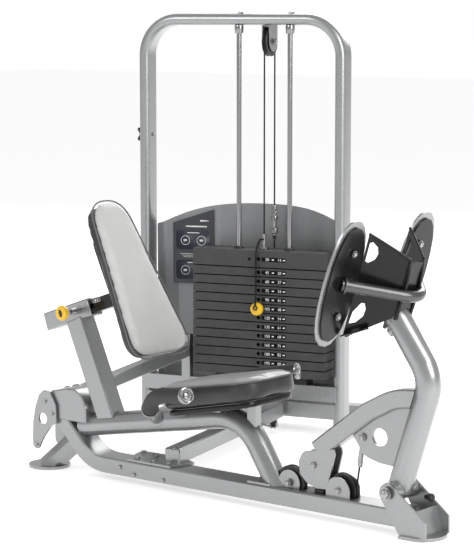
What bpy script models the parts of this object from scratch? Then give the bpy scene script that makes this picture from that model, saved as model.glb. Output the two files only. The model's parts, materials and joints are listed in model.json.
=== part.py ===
"""Seated leg press machine with its weight stack, as separate sub-parts (metres, +Z up).

The user faces +X and sits on the seat above the base rail. The weight tower stands on
the user's left (+Y) and is turned by TOWER_TURN about Z. MACHINE is an empty that puts
the middle of the whole machine on the world's origin.
"""
import bpy
import bmesh
from math import acos, atan2, cos, degrees, pi, radians, sin, tan
from mathutils import Matrix, Vector

# Driving dimensions
SHIFT_X = 0.0546
SHIFT_Y = -0.3824
GAP = 0.0004
BIG_TUBE = 0.03175
SHEET = 0.006
PULLEY_R = 0.0445
GROOVE_R = 0.0372
CABLE_R = 0.0024
CABLE_RUN_R = 0.0400
PULLEY_WIDTH = 0.016

# Base rail
RAIL_WIDTH = 0.076
RAIL_HEIGHT = 0.045
RAIL_BOTTOM = 0.020
RAIL_TOP = RAIL_BOTTOM + RAIL_HEIGHT
RAIL_FRONT = 0.640
RAIL_MID_Z = RAIL_BOTTOM + RAIL_HEIGHT / 2
RAIL_BEND_X = -0.405
RAIL_TAIL = (-0.525, 0.168)
FOOT_X = -0.590
FOOT_RADIUS = 0.059

# Seat side
TUBE_REAR = (-0.452, 0.136)
TUBE_CORNER = (0.123, 0.2335)
TUBE_FOOT = (0.2495, RAIL_TOP + GAP)
SEAT_TILT = radians(11.6)
SEAT_CENTRE = (0.0585, 0.3310)
SEAT_LENGTH = 0.352
SEAT_HALF_WIDTH = 0.124
SEAT_THICK = 0.066
BACK_TILT = radians(28.0)
BACK_CENTRE = (-0.252, 0.572)
BACK_LENGTH = 0.464
BACK_HALF_WIDTH = 0.128
BACK_THICK = 0.046
POST_FOOT = (-0.355, 0.182)
POST_TOP = (-0.4585, 0.418)
SLEEVE_TILT = radians(19.0)
SLEEVE_CENTRE = (-0.493, 0.447)
SLEEVE_LENGTH = 0.180
SLEEVE_SIZE = 0.050
BAR_SIZE = 0.038
GRIP_END = (0.116, 0.233, 0.319)

# Press arm, about the front pivot
PIVOT = (0.614, 0.107)
FOOT_PLATE_TILT = radians(17.0)
FOOT_PLATE_CENTRE = (0.5365, 0.630)
FOOT_PLATE_Y = 0.150
FOOT_PLATE_HALF = (0.070, 0.164)
CROSS_TUBE_R = 0.0115
LEVER_PULLEY = (0.361, 0.127)
RAIL_PULLEY = (0.441, 0.081)
FOOT_PULLEY = (0.280, 0.079)
GUARD_R = 0.037
SHIELD_R = 0.034
ANCHOR = (0.498, 0.186)

# Weight tower: u across its width, n to its back, from its own middle on the floor
TOWER_TURN = radians(15.0)
TOWER_X = -0.467
TOWER_Y = 0.7395
TOWER_HEIGHT = 1.278
TOWER_HALF = 0.322
UPRIGHT_THICK = 0.032
UPRIGHT_DEEP = 0.070
STACK_U = 0.076
STACK_N = -0.030
STACK_WIDTH = 0.434
STACK_DEPTH = 0.090
STACK_BASE = 0.190
PLATE_PITCH = 0.0276
PLATE_GAP = 0.0034
PLATE_COUNT = 12
LIFTED_PLATES = 5
TOP_PLATE = 0.050
ROD_SPACING = 0.166
ROD_R = 0.0075
TOP_PULLEY_Z = 1.196
TOP_PULLEY_N = STACK_N + CABLE_RUN_R
SHELF_Z = (0.121, 0.167)
TUBE_ENTRY = (0.155, 0.195)
LOWER_PULLEY_Z = 0.0560
TURNBUCKLE_TOP = 0.698
TURNBUCKLE_LOW = 0.592
PIN_ALONG = 0.050

UPRIGHT = (pi / 2, 0, 0)
FACING_BACK = (pi / 2, 0, pi / 2)

SILVER = (0.46, 0.47, 0.48, 0.42, 0.55)
DARK_GLOSS = (0.045, 0.045, 0.05, 0.28, 0.4)
CHROME = (0.75, 0.75, 0.76, 0.15, 1.0)
BLACK_RUBBER = (0.015, 0.015, 0.016, 0.75, 0.0)
STACK_GREY = (0.075, 0.075, 0.078, 0.6, 0.1)
PAD_LIGHT = (0.60, 0.60, 0.59, 0.6, 0.0)
YELLOW = (0.85, 0.50, 0.03, 0.35, 0.0)
PLACARD = (0.03, 0.032, 0.04, 0.4, 0.0)


def clear_scene():
    for thing in list(bpy.data.objects):
        bpy.data.objects.remove(thing, do_unlink=True)


def collection(name):
    made = bpy.data.collections.new(name)
    bpy.context.scene.collection.children.link(made)
    return made


def material(name, look):
    """Principled material from (red, green, blue, roughness, metallic)."""
    made = bpy.data.materials.get(name)
    if made:
        return made
    made = bpy.data.materials.new(name)
    made.use_nodes = True
    shader = made.node_tree.nodes["Principled BSDF"]
    shader.inputs["Base Color"].default_value = (look[0], look[1], look[2], 1.0)
    shader.inputs["Roughness"].default_value = look[3]
    shader.inputs["Metallic"].default_value = look[4]
    return made


def empty(name, location, rotation=(0, 0, 0), parent=None):
    made = bpy.data.objects.new(name, None)
    PARTS.objects.link(made)
    made.parent = parent
    made.location = location
    made.rotation_euler = rotation
    bpy.context.view_layer.update()
    return made


def add(name, mesh, look, parent, location=(0, 0, 0), rotation=(0, 0, 0)):
    made = bpy.data.objects.new(name, mesh)
    PARTS.objects.link(made)
    made.parent = parent
    made.location = location
    made.rotation_euler = rotation
    mesh.materials.clear()
    mesh.materials.append(material(name + "_paint", look))
    mesh.set_sharp_from_angle(angle=radians(35))
    bpy.context.view_layer.update()
    return made


def bake(thing):
    """Replace an object's modifiers or curve by its plain evaluated mesh, in world space."""
    bpy.context.view_layer.update()
    graph = bpy.context.evaluated_depsgraph_get()
    mesh = bpy.data.meshes.new_from_object(thing.evaluated_get(graph), depsgraph=graph)
    mesh.transform(thing.matrix_world)
    work = bmesh.new()
    work.from_mesh(mesh)
    bmesh.ops.remove_doubles(work, verts=work.verts, dist=0.00002)
    bmesh.ops.recalc_face_normals(work, faces=work.faces)
    work.to_mesh(mesh)
    work.free()
    bpy.data.objects.remove(thing, do_unlink=True)
    return mesh


def keep(name, mesh, look, parent):
    """Put a world-space mesh under its parent without moving it."""
    mesh.transform(parent.matrix_world.inverted())
    mesh.shade_smooth()
    return add(name, mesh, look, parent)


def combine(base, others, operation="UNION"):
    """Boolean of world-space meshes; the tools are removed afterwards."""
    body = bpy.data.objects.new("boolean_body", base)
    PARTS.objects.link(body)
    tools = []
    for mesh in others:
        tool = bpy.data.objects.new("boolean_tool", mesh)
        CUTTERS.objects.link(tool)
        tool.hide_render = True
        tool.display_type = "WIRE"
        step = body.modifiers.new("step", "BOOLEAN")
        step.operation = operation
        step.solver = "EXACT"
        step.object = tool
        tools.append(tool)
    joined = bake(body)
    for tool in tools:
        bpy.data.objects.remove(tool, do_unlink=True)
    return joined


def cut(base, cutters):
    return combine(base, cutters, "DIFFERENCE")


def fillet(points, radius, steps=6):
    """Path through points with each inner corner rounded by an arc."""
    path = [Vector(points[0])]
    for before, here, after in zip(points, points[1:], points[2:]):
        here = Vector(here)
        back = (Vector(before) - here).normalized()
        ahead = (Vector(after) - here).normalized()
        half = back.angle(ahead) / 2
        bisector = (back + ahead).normalized()
        centre = here + bisector * radius / sin(half)
        start = here + back * radius / tan(half) - centre
        end = here + ahead * radius / tan(half) - centre
        turn = start.angle(end)
        for step in range(steps + 1):
            share = step / steps
            path.append(centre + (start * sin((1 - share) * turn) + end * sin(share * turn)) / sin(turn))
    path.append(Vector(points[-1]))
    return path


def arc(centre, radius, start, end, steps):
    """Points of an arc in local X and Y; angles in degrees."""
    angles = [radians(start + (end - start) * step / steps) for step in range(steps + 1)]
    return [(centre[0] + radius * cos(a), centre[1] + radius * sin(a), 0.0) for a in angles]


def spline(curve, points, closed=False):
    line = curve.splines.new("POLY")
    line.points.add(len(points) - 1)
    for spot, place in zip(line.points, points):
        spot.co = (place[0], place[1], place[2], 1.0)
    line.use_cyclic_u = closed


def temporary(curve, parent, location, rotation):
    made = bpy.data.objects.new(curve.name, curve)
    PARTS.objects.link(made)
    made.parent = parent
    made.location = location
    made.rotation_euler = rotation
    return made


def tube(points, radius, parent, sides=4):
    """Round bar through 3-D points, as a world-space mesh."""
    curve = bpy.data.curves.new("tube", "CURVE")
    curve.dimensions = "3D"
    curve.bevel_depth = radius
    curve.bevel_resolution = sides - 2
    curve.use_fill_caps = True
    spline(curve, points)
    return bake(temporary(curve, parent, (0, 0, 0), (0, 0, 0)))


def rounded_profile(width, height, radius, steps=1):
    x = width / 2 - radius
    y = height / 2 - radius
    outline = []
    for centre, start in (((x, y), 0), ((-x, y), 90), ((-x, -y), 180), ((x, -y), 270)):
        outline += arc(centre, radius, start, start + 90, steps)
    curve = bpy.data.curves.new("profile", "CURVE")
    curve.dimensions = "2D"
    curve.fill_mode = "NONE"
    spline(curve, outline, closed=True)
    guide = bpy.data.objects.new("profile", curve)
    CUTTERS.objects.link(guide)
    guide.hide_render = True
    guide.display_type = "WIRE"
    return guide


def section_bar(points, across, deep, corner, parent, location=(0, 0, 0), rotation=UPRIGHT, steps=1):
    """Rectangular tube along a path in the local XY plane; deep is its size along local Z."""
    guide = rounded_profile(across, deep, corner, steps)
    curve = bpy.data.curves.new("section_bar", "CURVE")
    curve.dimensions = "2D"
    curve.fill_mode = "NONE"
    curve.bevel_mode = "OBJECT"
    curve.bevel_object = guide
    curve.use_fill_caps = True
    spline(curve, [(p[0], p[1], 0) for p in points])
    mesh = bake(temporary(curve, parent, location, rotation))
    bpy.data.objects.remove(guide, do_unlink=True)
    return mesh


def plate(outlines, thickness, parent, location=(0, 0, 0), rotation=UPRIGHT, edge=0.0):
    """Flat sheet: outer outline and any holes, given in the local XY plane."""
    curve = bpy.data.curves.new("plate", "CURVE")
    curve.dimensions = "2D"
    curve.fill_mode = "BOTH"
    curve.extrude = thickness / 2
    for outline in outlines:
        spline(curve, outline, closed=True)
    made = temporary(curve, parent, location, rotation)
    mesh = bake(made)
    if edge:
        body = bpy.data.objects.new("plate", mesh)
        PARTS.objects.link(body)
        soft = body.modifiers.new("edge", "BEVEL")
        soft.width = edge
        soft.segments = 1
        soft.limit_method = "ANGLE"
        soft.angle_limit = radians(50)
        mesh = bake(body)
    return mesh


def block(size, parent, location, rotation=(0, 0, 0), edge=0.0):
    """Box as a world-space mesh, with its edges rounded where edge is given."""
    mesh = bpy.data.meshes.new("block")
    work = bmesh.new()
    bmesh.ops.create_cube(work, size=1.0)
    bmesh.ops.scale(work, vec=size, verts=work.verts)
    work.to_mesh(mesh)
    work.free()
    body = bpy.data.objects.new("block", mesh)
    PARTS.objects.link(body)
    body.parent = parent
    body.location = location
    body.rotation_euler = rotation
    if edge:
        soft = body.modifiers.new("edge", "BEVEL")
        soft.width = edge
        soft.segments = 1
    return bake(body)


def rod(radius, length, parent, location, axis=(0, 0, 1), sides=16, top=None):
    """Cylinder or cone centred on location, as a world-space mesh."""
    mesh = bpy.data.meshes.new("rod")
    work = bmesh.new()
    bmesh.ops.create_cone(work, cap_ends=True, segments=sides, radius1=radius,
                          radius2=radius if top is None else top, depth=length)
    work.to_mesh(mesh)
    work.free()
    turn = Vector((0, 0, 1)).rotation_difference(Vector(axis))
    body = bpy.data.objects.new("rod", mesh)
    PARTS.objects.link(body)
    body.parent = parent
    body.location = location
    body.rotation_euler = turn.to_euler()
    return bake(body)


def turned(profile, parent, location, axis, steps=16):
    """Turned shape: (radius, height) from its top down, spun about its axis."""
    mesh = bpy.data.meshes.new("turned")
    work = bmesh.new()
    spots = [work.verts.new((radius, 0, height)) for radius, height in profile]
    for first, second in zip(spots, spots[1:]):
        work.edges.new((first, second))
    work.to_mesh(mesh)
    work.free()
    body = bpy.data.objects.new("turned", mesh)
    PARTS.objects.link(body)
    body.parent = parent
    body.location = location
    body.rotation_euler = Vector((0, 0, 1)).rotation_difference(Vector(axis)).to_euler()
    screw = body.modifiers.new("spin", "SCREW")
    screw.steps = steps
    screw.render_steps = steps
    screw.use_merge_vertices = True
    screw.merge_threshold = 0.00001
    return bake(body)


def pulley(name, parent, location, axis):
    """Grooved wheel with a plain bore."""
    half = PULLEY_WIDTH / 2
    bore = 0.0055
    profile = [(bore, half), (PULLEY_R, half), (GROOVE_R, 0.0022), (GROOVE_R, -0.0022), (PULLEY_R, -half),
               (bore, -half), (bore, half)]
    return keep(name, turned(profile, parent, location, axis, 18), BLACK_RUBBER, parent)


def pulley_slot(parent, location, axis):
    return rod(PULLEY_R + 0.002, PULLEY_WIDTH + 0.0054, parent, location, axis, sides=20)


def rail_path(extra=0.0):
    """Rail's middle line in X and Z; extra lengthens the raised tail."""
    tail = Vector((RAIL_TAIL[0], RAIL_TAIL[1], 0))
    bend = Vector((RAIL_BEND_X, RAIL_MID_Z, 0))
    tail += (tail - bend).normalized() * extra
    return fillet([(RAIL_FRONT, RAIL_MID_Z, 0), bend, tail], 0.13, 8)


def rail_clearance():
    size = 2 * GAP
    return section_bar(rail_path(0.002), RAIL_HEIGHT + size, RAIL_WIDTH + size, 0.004, MACHINE)


def base_rail():
    body = section_bar(rail_path(), RAIL_HEIGHT, RAIL_WIDTH, 0.004, MACHINE)
    guard = arc(RAIL_PULLEY, GUARD_R, 0, 180, 12)
    guard = [(RAIL_PULLEY[0] + GUARD_R, RAIL_TOP - 0.006, 0)] + guard
    guard.append((RAIL_PULLEY[0] - GUARD_R, RAIL_TOP - 0.006, 0))
    sides = [plate([guard], 0.003, MACHINE, (0, side * 0.0225, 0)) for side in (-1, 1)]
    body = combine(body, sides)
    slots = [pulley_slot(MACHINE, (spot[0], 0, spot[1]), (0, 1, 0)) for spot in (FOOT_PULLEY, RAIL_PULLEY)]
    body = cut(body, slots)
    axle = rod(0.005, 0.054, MACHINE, (RAIL_PULLEY[0], 0, RAIL_PULLEY[1]), (0, 1, 0), 12)
    keep("base_rail", combine(body, [axle]), SILVER, MACHINE)


def rear_foot():
    strut = tube([(-0.470, 0, 0.100), (-0.590, 0, 0.004)], BIG_TUBE, MACHINE)
    strut = cut(strut, [rail_clearance(), block((0.3, 0.3, 0.1), MACHINE, (FOOT_X, 0, -0.05))])
    disc = rod(FOOT_RADIUS, 0.008, MACHINE, (FOOT_X, 0, 0.004), sides=24)
    keep("rear_foot", combine(strut, [disc]), SILVER, MACHINE)


def front_foot():
    sole = [(0.654, -0.064, 0)]
    sole += arc((0.674, 0), 0.070, -62, 62, 12)
    sole += [(0.654, 0.064, 0)]
    body = plate([sole], 0.008, MACHINE, (0, 0, 0.004), (0, 0, 0))
    ear = [(0.652, 0.004, 0), (0.728, 0.004, 0), (0.727, 0.048, 0)]
    ear += arc(PIVOT, 0.0245, 42, 222, 12)
    ears = [plate([ear], SHEET, MACHINE, (0, side * 0.052, 0)) for side in (-1, 1)]
    web = block((0.005, 0.100, 0.068), MACHINE, (0.697, 0, 0.036), (0, radians(-14), 0))
    body = combine(body, ears + [web])
    bore = rod(0.0082, 0.2, MACHINE, (PIVOT[0], 0, PIVOT[1]), (0, 1, 0), 14)
    keep("front_foot", cut(body, [bore]), SILVER, MACHINE)


def pivot_axle():
    pin = rod(0.0078, 0.128, MACHINE, (PIVOT[0], 0, PIVOT[1]), (0, 1, 0), 14)
    heads = [rod(0.0125, 0.007, MACHINE, (PIVOT[0], side * 0.0590, PIVOT[1]), (0, 1, 0), 6)
             for side in (-1, 1)]
    keep("pivot_axle", combine(pin, heads), CHROME, MACHINE)


def seat_tube_path():
    return fillet([(TUBE_REAR[0], 0, TUBE_REAR[1]), (TUBE_CORNER[0], 0, TUBE_CORNER[1]),
                   (TUBE_FOOT[0], 0, TUBE_FOOT[1] - 0.03)], 0.13, 8)


def seat_tube_clearance():
    return tube(seat_tube_path(), BIG_TUBE + 0.0012, MACHINE, 6)


def tower_point(u, n, z):
    """A place given in the tower's own frame, in the machine's frame."""
    spot = Matrix.Rotation(TOWER_TURN, 3, "Z") @ Vector((u, n, z))
    return spot + Vector((TOWER_X, TOWER_Y, 0))


def cable_turns():
    """Lower pulley and guide pulley: centre, axle, and where the cable meets and leaves each."""
    drop = tower_point(STACK_U, TOP_PULLEY_N + CABLE_RUN_R, LOWER_PULLEY_Z)
    entry = Vector((TUBE_ENTRY[0], 0, TUBE_ENTRY[1]))
    level = Vector((entry.x - drop.x, entry.y - drop.y, 0)).normalized()
    lower = drop + level * CABLE_RUN_R
    run = (entry - (lower - Vector((0, 0, CABLE_RUN_R)))).normalized()
    down = Vector((0, 0, -1))
    leave = lower - (run.cross(level.cross(down))).normalized() * CABLE_RUN_R
    along = Vector((TUBE_FOOT[0] - TUBE_CORNER[0], 0, TUBE_FOOT[1] - TUBE_CORNER[1])).normalized()
    inward = (-run + along * run.dot(along)).normalized()
    guide = entry + inward * CABLE_RUN_R
    meet = guide - (along - run * run.dot(along)).normalized() * CABLE_RUN_R
    return {"drop": drop, "lower": lower, "lower_axis": level.cross(down).normalized(), "leave": leave,
            "meet": meet, "guide": guide, "guide_axis": run.cross(along).normalized(), "entry": entry,
            "along": along}


def seat_frame_tube():
    body = tube(seat_tube_path(), BIG_TUBE, MACHINE, 6)
    saddle = [(-0.545, 0.150, 0), (-0.545, 0.228, 0), (-0.490, 0.240, 0)]
    saddle += [(p[0], p[1], 0) for p in arc((-0.470, 0.185), 0.058, 78, 0, 7)]
    saddle += [(-0.412, 0.150, 0)]
    block_form = plate([saddle], 0.080, MACHINE, edge=0.004)
    flange = block((0.075, 0.072, 0.006), MACHINE, (0.196, 0, RAIL_TOP + GAP + 0.003))
    body = combine(body, [block_form, flange])
    floor_cut = block((0.4, 0.3, 0.1), MACHINE, (0.25, 0, RAIL_TOP + GAP - 0.05))
    turns = cable_turns()
    cheeks = [rod(0.047, 0.003, MACHINE, turns["guide"] + turns["guide_axis"] * side * 0.0125,
                  turns["guide_axis"], 14) for side in (-1, 1)]
    axle = rod(0.005, 0.030, MACHINE, turns["guide"], turns["guide_axis"], 12)
    slots = [pulley_slot(MACHINE, (FOOT_PULLEY[0], 0, FOOT_PULLEY[1]), (0, 1, 0)),
             pulley_slot(MACHINE, turns["guide"], turns["guide_axis"])]
    shield = plate([arc(FOOT_PULLEY, SHIELD_R, 0, 340, 17)], 0.003, MACHINE, (0, -0.0130, 0))
    body = cut(combine(body, cheeks), [rail_clearance(), floor_cut] + slots)
    shield = cut(shield, [block((0.4, 0.3, 0.1), MACHINE, (0.25, 0, RAIL_TOP + GAP - 0.05))])
    body = combine(body, [shield])
    foot_axle = rod(0.005, 0.044, MACHINE, (FOOT_PULLEY[0], 0, FOOT_PULLEY[1]), (0, 1, 0), 12)
    body = largest_piece(combine(body, [axle, foot_axle]))
    keep("seat_frame_tube", body, SILVER, MACHINE)


def rear_bracket(name, side):
    outline = [(-0.565, 0.228, 0), (-0.582, 0.214, 0), (-0.596, 0.180, 0), (-0.606, 0.135, 0)]
    outline += [(-0.608, 0.095, 0)]
    outline += arc((-0.594, 0.071), 0.0135, 180, 350, 7)
    outline += [(-0.565, 0.095, 0), (-0.536, 0.130, 0), (-0.516, 0.139, 0), (-0.518, 0.190, 0)]
    outline += [(-0.540, 0.226, 0)]
    hole = arc((-0.568, 0.147), 0.0165, 0, 337.5, 15)
    body = plate([outline, hole], SHEET, MACHINE, (0, side * 0.0455, 0))
    spots = ((-0.560, 0.198), (-0.532, 0.166), (-0.594, 0.071))
    bolts = [rod(0.0065, 0.006, MACHINE, (x, side * 0.0500, z), (0, 1, 0), 6) for x, z in spots]
    keep(name, combine(body, bolts), SILVER, MACHINE)


def cross_beam_ends():
    turn = Matrix.Rotation(TOWER_TURN, 3, "Z")
    end = turn @ Vector((-0.175, -0.062, 0))
    return Vector((-0.530, 0.0495, 0.206)), Vector((TOWER_X + end.x, TOWER_Y + end.y, 0.250))


def rear_cross_beam():
    start, end = cross_beam_ends()
    way = (end - start).normalized()
    across = way.cross(Vector((0, 0, 1))).normalized()
    frame = Matrix((way, across.cross(way) * -1, across)).transposed().to_3x3()
    length = (end - start).length
    body = section_bar([(0, 0), (length, 0)], 0.038, 0.038, 0.004, MACHINE, start, frame.to_euler())
    collar = rod(0.029, 0.008, MACHINE, start + way * 0.006, way, 24)
    body = combine(body, [collar])
    keep("rear_cross_beam", cut(body, [block((0.3, 0.1074, 0.3), MACHINE, (-0.53, 0, 0.2))]), SILVER, MACHINE)


def connecting_beam():
    """Beam from the rail to the tower, with the bolted saddle on top of the rail."""
    length = 0.735
    beam = block((0.044, length, 0.044), TOWER, (0.134, -0.066 - length / 2, 0.089), edge=0.003)
    saddle = [(-0.262, -0.036, 0), (-0.108, -0.036, 0), (-0.085, 0.040, 0), (-0.150, 0.074, 0),
              (-0.300, 0.068, 0)]
    sole = plate([saddle], SHEET, MACHINE, (0, 0, RAIL_TOP + GAP + SHEET / 2), (0, 0, 0))
    spots = ((-0.240, -0.018), (-0.178, -0.020), (-0.128, -0.018), (-0.210, 0.024), (-0.276, 0.050))
    bolts = [rod(0.008, 0.006, MACHINE, (x, y, RAIL_TOP + SHEET + 0.003), sides=6) for x, y in spots]
    body = cut(combine(beam, [sole]), [block((0.4, 0.3, 0.1), MACHINE, (-0.1, 0, RAIL_TOP + GAP - 0.05))])
    keep("connecting_beam", combine(body, bolts), SILVER, MACHINE)


def tower_frame():
    top = TOWER_HEIGHT - UPRIGHT_THICK / 2
    path = fillet([(-TOWER_HALF, 0.004, 0), (-TOWER_HALF, top, 0), (TOWER_HALF, top, 0),
                   (TOWER_HALF, 0.004, 0)], 0.110, 6)
    hoop = section_bar(path, UPRIGHT_THICK, UPRIGHT_DEEP, 0.0158, TOWER, (0, -0.012, 0), steps=3)
    inner = 2 * TOWER_HALF
    shelf_height = SHELF_Z[1] - SHELF_Z[0]
    shelf = block((inner, 0.050, shelf_height), TOWER, (0, -0.030, sum(SHELF_Z) / 2))
    feet = [block((0.050, 0.245, 0.028), TOWER, (side * TOWER_HALF, 0.075, 0.014), edge=0.003)
            for side in (-1, 1)]
    rear = block((inner, 0.050, 0.050), TOWER, (0, 0.163, 0.0520))
    front = block((inner, 0.044, 0.044), TOWER, (0, -0.0236, 0.089))
    post = block((0.028, 0.024, 0.145), TOWER, (-0.175, -0.045, 0.225))
    risers = [block((0.036, 0.044, 0.030), TOWER, (side * (TOWER_HALF - 0.015), 0.164, 0.040))
              for side in (-1, 1)]
    turns = cable_turns()
    cheeks = [rod(0.040, 0.003, MACHINE, turns["lower"] + turns["lower_axis"] * side * 0.0125,
                  turns["lower_axis"], 14) for side in (-1, 1)]
    body = combine(hoop, [shelf, front, post, rear] + feet + risers + cheeks)
    body = cut(body, [pulley_slot(MACHINE, turns["lower"], turns["lower_axis"])])
    axle = rod(0.005, 0.030, MACHINE, turns["lower"], turns["lower_axis"], 12)
    keep("tower_frame", combine(body, [axle]), SILVER, TOWER)


def top_pulley_parts():
    roof = TOWER_HEIGHT - UPRIGHT_THICK - GAP
    cheek = [(-0.030, roof, 0), (-0.030, TOP_PULLEY_Z, 0)]
    cheek += arc((0, TOP_PULLEY_Z), 0.030, 180, 360, 12)[1:]
    cheek += [(0.030, roof, 0)]
    place = [(STACK_U + side * 0.0115, TOP_PULLEY_N, 0) for side in (-1, 1)]
    cheeks = [plate([cheek], 0.003, TOWER, spot, (pi / 2, 0, pi / 2)) for spot in place]
    bridge = block((0.0245, 0.058, 0.003), TOWER, (STACK_U, TOP_PULLEY_N, roof - 0.0020))
    axle = rod(0.005, 0.036, TOWER, (STACK_U, TOP_PULLEY_N, TOP_PULLEY_Z), (1, 0, 0), 12)
    keep("top_pulley_bracket", combine(cheeks[0], [cheeks[1], bridge, axle]), SILVER, TOWER)
    pulley("top_pulley", TOWER, (STACK_U, TOP_PULLEY_N, TOP_PULLEY_Z), (1, 0, 0))


def guide_rods():
    low = SHELF_Z[1] + GAP
    high = TOWER_HEIGHT - UPRIGHT_THICK - GAP
    for name, side in (("guide_rod_left", -1), ("guide_rod_right", 1)):
        place = (STACK_U + side * ROD_SPACING / 2, STACK_N)
        shaft = rod(ROD_R, high - low, TOWER, (place[0], place[1], (low + high) / 2), sides=12)
        collar = rod(0.0140, 0.022, TOWER, (place[0], place[1], high - 0.011), sides=12)
        keep(name, combine(shaft, [collar]), CHROME, TOWER)


def stack_cushion():
    low = SHELF_Z[1] + GAP
    body = block((0.300, 0.055, STACK_BASE - low - GAP), TOWER, (STACK_U, STACK_N, (low + STACK_BASE) / 2))
    spots = [(STACK_U + side * ROD_SPACING / 2, STACK_N, 0.2) for side in (-1, 1)]
    holes = [rod(ROD_R + 0.0015, 0.2, TOWER, spot, sides=8) for spot in spots]
    well = rod(0.014, 0.2, TOWER, (STACK_U, STACK_N, 0.2), sides=8)
    keep("stack_cushion", cut(body, holes + [well]), BLACK_RUBBER, TOWER)


def stack_plate_mesh(thick, middle, feet=True):
    """A plate with its bores, and two pads below it that rest on the plate under it."""
    body = block((STACK_WIDTH, STACK_DEPTH, thick), TOWER, (STACK_U, STACK_N, middle))
    if feet:
        high = PLATE_GAP - GAP
        pads = [block((0.040, 0.030, high * 2), TOWER, (STACK_U + side * 0.150, STACK_N, middle - thick / 2))
                for side in (-1, 1)]
        body = combine(body, pads)
    spots = [(STACK_U + side * ROD_SPACING / 2, STACK_N, middle) for side in (-1, 1)]
    tools = [rod(ROD_R + 0.0015, 0.1, TOWER, spot, sides=8) for spot in spots]
    tools.append(rod(0.0112, 0.1, TOWER, (STACK_U, STACK_N, middle), sides=8))
    tools.append(rod(0.0062, 0.06, TOWER, (STACK_U, STACK_N - 0.030, middle), (0, 1, 0), 8))
    return cut(body, tools)


def weight_stack():
    thick = PLATE_PITCH - PLATE_GAP
    for number in range(PLATE_COUNT):
        middle = STACK_BASE + (number + 0.5) * PLATE_PITCH - PLATE_GAP / 2
        name = "weight_plate_%02d" % (PLATE_COUNT - number)
        keep(name, stack_plate_mesh(thick, middle, number > 0), STACK_GREY, TOWER)
    middle = STACK_BASE + PLATE_COUNT * PLATE_PITCH + TOP_PLATE / 2
    keep("weight_top_plate", stack_plate_mesh(TOP_PLATE, middle), STACK_GREY, TOWER)


def pin_height():
    return STACK_BASE + (PLATE_COUNT - LIFTED_PLATES + 0.5) * PLATE_PITCH - PLATE_GAP / 2


def stack_top():
    return STACK_BASE + PLATE_COUNT * PLATE_PITCH + TOP_PLATE


def selector_parts():
    low = SHELF_Z[1] + 0.008
    high = stack_top() + 0.004
    stem = rod(0.0090, high - low, TOWER, (STACK_U, STACK_N, (low + high) / 2), sides=12)
    collar = rod(0.016, 0.006, TOWER, (STACK_U, STACK_N, stack_top() + GAP + 0.003), sides=12)
    fitting = rod(0.0060, 0.044, TOWER, (STACK_U, STACK_N, stack_top() + 0.024), sides=16)
    hole = rod(0.0052, 0.04, TOWER, (STACK_U, STACK_N, pin_height()), (0, 1, 0), 12)
    keep("selector_rod", cut(combine(stem, [collar, fitting]), [hole]), CHROME, TOWER)
    front = STACK_N - STACK_DEPTH / 2
    shaft = rod(0.0045, 0.070, TOWER, (STACK_U, front + 0.014, pin_height()), (0, 1, 0), 12)
    knob_profile = [(0.0, 0.012), (0.0140, 0.011), (0.0200, 0.006), (0.0215, 0.0), (0.0200, -0.006),
                    (0.0120, -0.010), (0.0080, -0.014), (0.0, -0.014)]
    knob = turned(knob_profile, TOWER, (STACK_U, front - 0.026, pin_height()), (0, -1, 0), 16)
    keep("selector_pin", combine(shaft, [knob]), YELLOW, TOWER)


def shroud_plan():
    left = [(-0.300, 0.008, 0), (-0.300, 0.042, 0), (-0.255, 0.066, 0)]
    right = [(0.300, 0.040, 0)]
    middle = [(u, 0.103 - 0.95 * (u - 0.02) ** 2, 0) for u in (-0.12, -0.05, 0.02, 0.10, 0.18)]
    return left + middle + right


def shroud_top(u):
    """Height of the shroud's arched top edge."""
    away = u - 0.03
    return 0.697 - (1.9 if away > 0 else 1.45) * abs(away) ** 2.8


def shroud():
    path = fillet(shroud_plan(), 0.024, 3)
    sheet = section_bar(path, 0.003, 0.640, 0.0004, TOWER, (0, 0, 0.420), (0, 0, 0))
    steps = 18
    arch = [(-0.320, 0.130, 0), (0.320, 0.130, 0), (0.320, shroud_top(0.32), 0)]
    arch += [(0.30 - 0.6 * k / steps, shroud_top(0.30 - 0.6 * k / steps), 0) for k in range(steps + 1)]
    arch += [(-0.312, 0.600, 0), (-0.320, 0.580, 0)]
    keep("stack_shroud", combine(sheet, [plate([arch], 0.4, TOWER)], "INTERSECT"), SILVER, TOWER)


def placard():
    outline = [(-0.0655, -0.105, 0), (0.0655, -0.105, 0), (0.0655, 0.128, 0), (-0.0655, 0.085, 0)]
    body = plate([outline], 0.002, TOWER, (-0.2045, 0.0650, 0.546), (pi / 2, 0, radians(9)))
    keep("placard", body, PLACARD, TOWER)


def rounded_outline(half_x, half_low, half_high, corner, steps=5):
    """Rounded trapezium: half_low wide at -X, half_high wide at +X."""
    corners = [(-half_x, -half_low, 0), (half_x, -half_high, 0), (half_x, half_high, 0),
               (-half_x, half_low, 0)]
    ring = [corners[-1]] + corners + [corners[0]]
    outline = []
    for before, here, after in zip(ring, ring[1:], ring[2:]):
        outline += fillet([before, here, after], corner, steps)[1:-1]
    return outline


def seat_place(along, down):
    """Point in the seat's middle plane: along its length from its middle, and down from its top."""
    x = SEAT_CENTRE[0] + along * cos(SEAT_TILT) + down * sin(SEAT_TILT)
    z = SEAT_CENTRE[1] + along * sin(SEAT_TILT) - down * cos(SEAT_TILT)
    return (x, 0, z)


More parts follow.
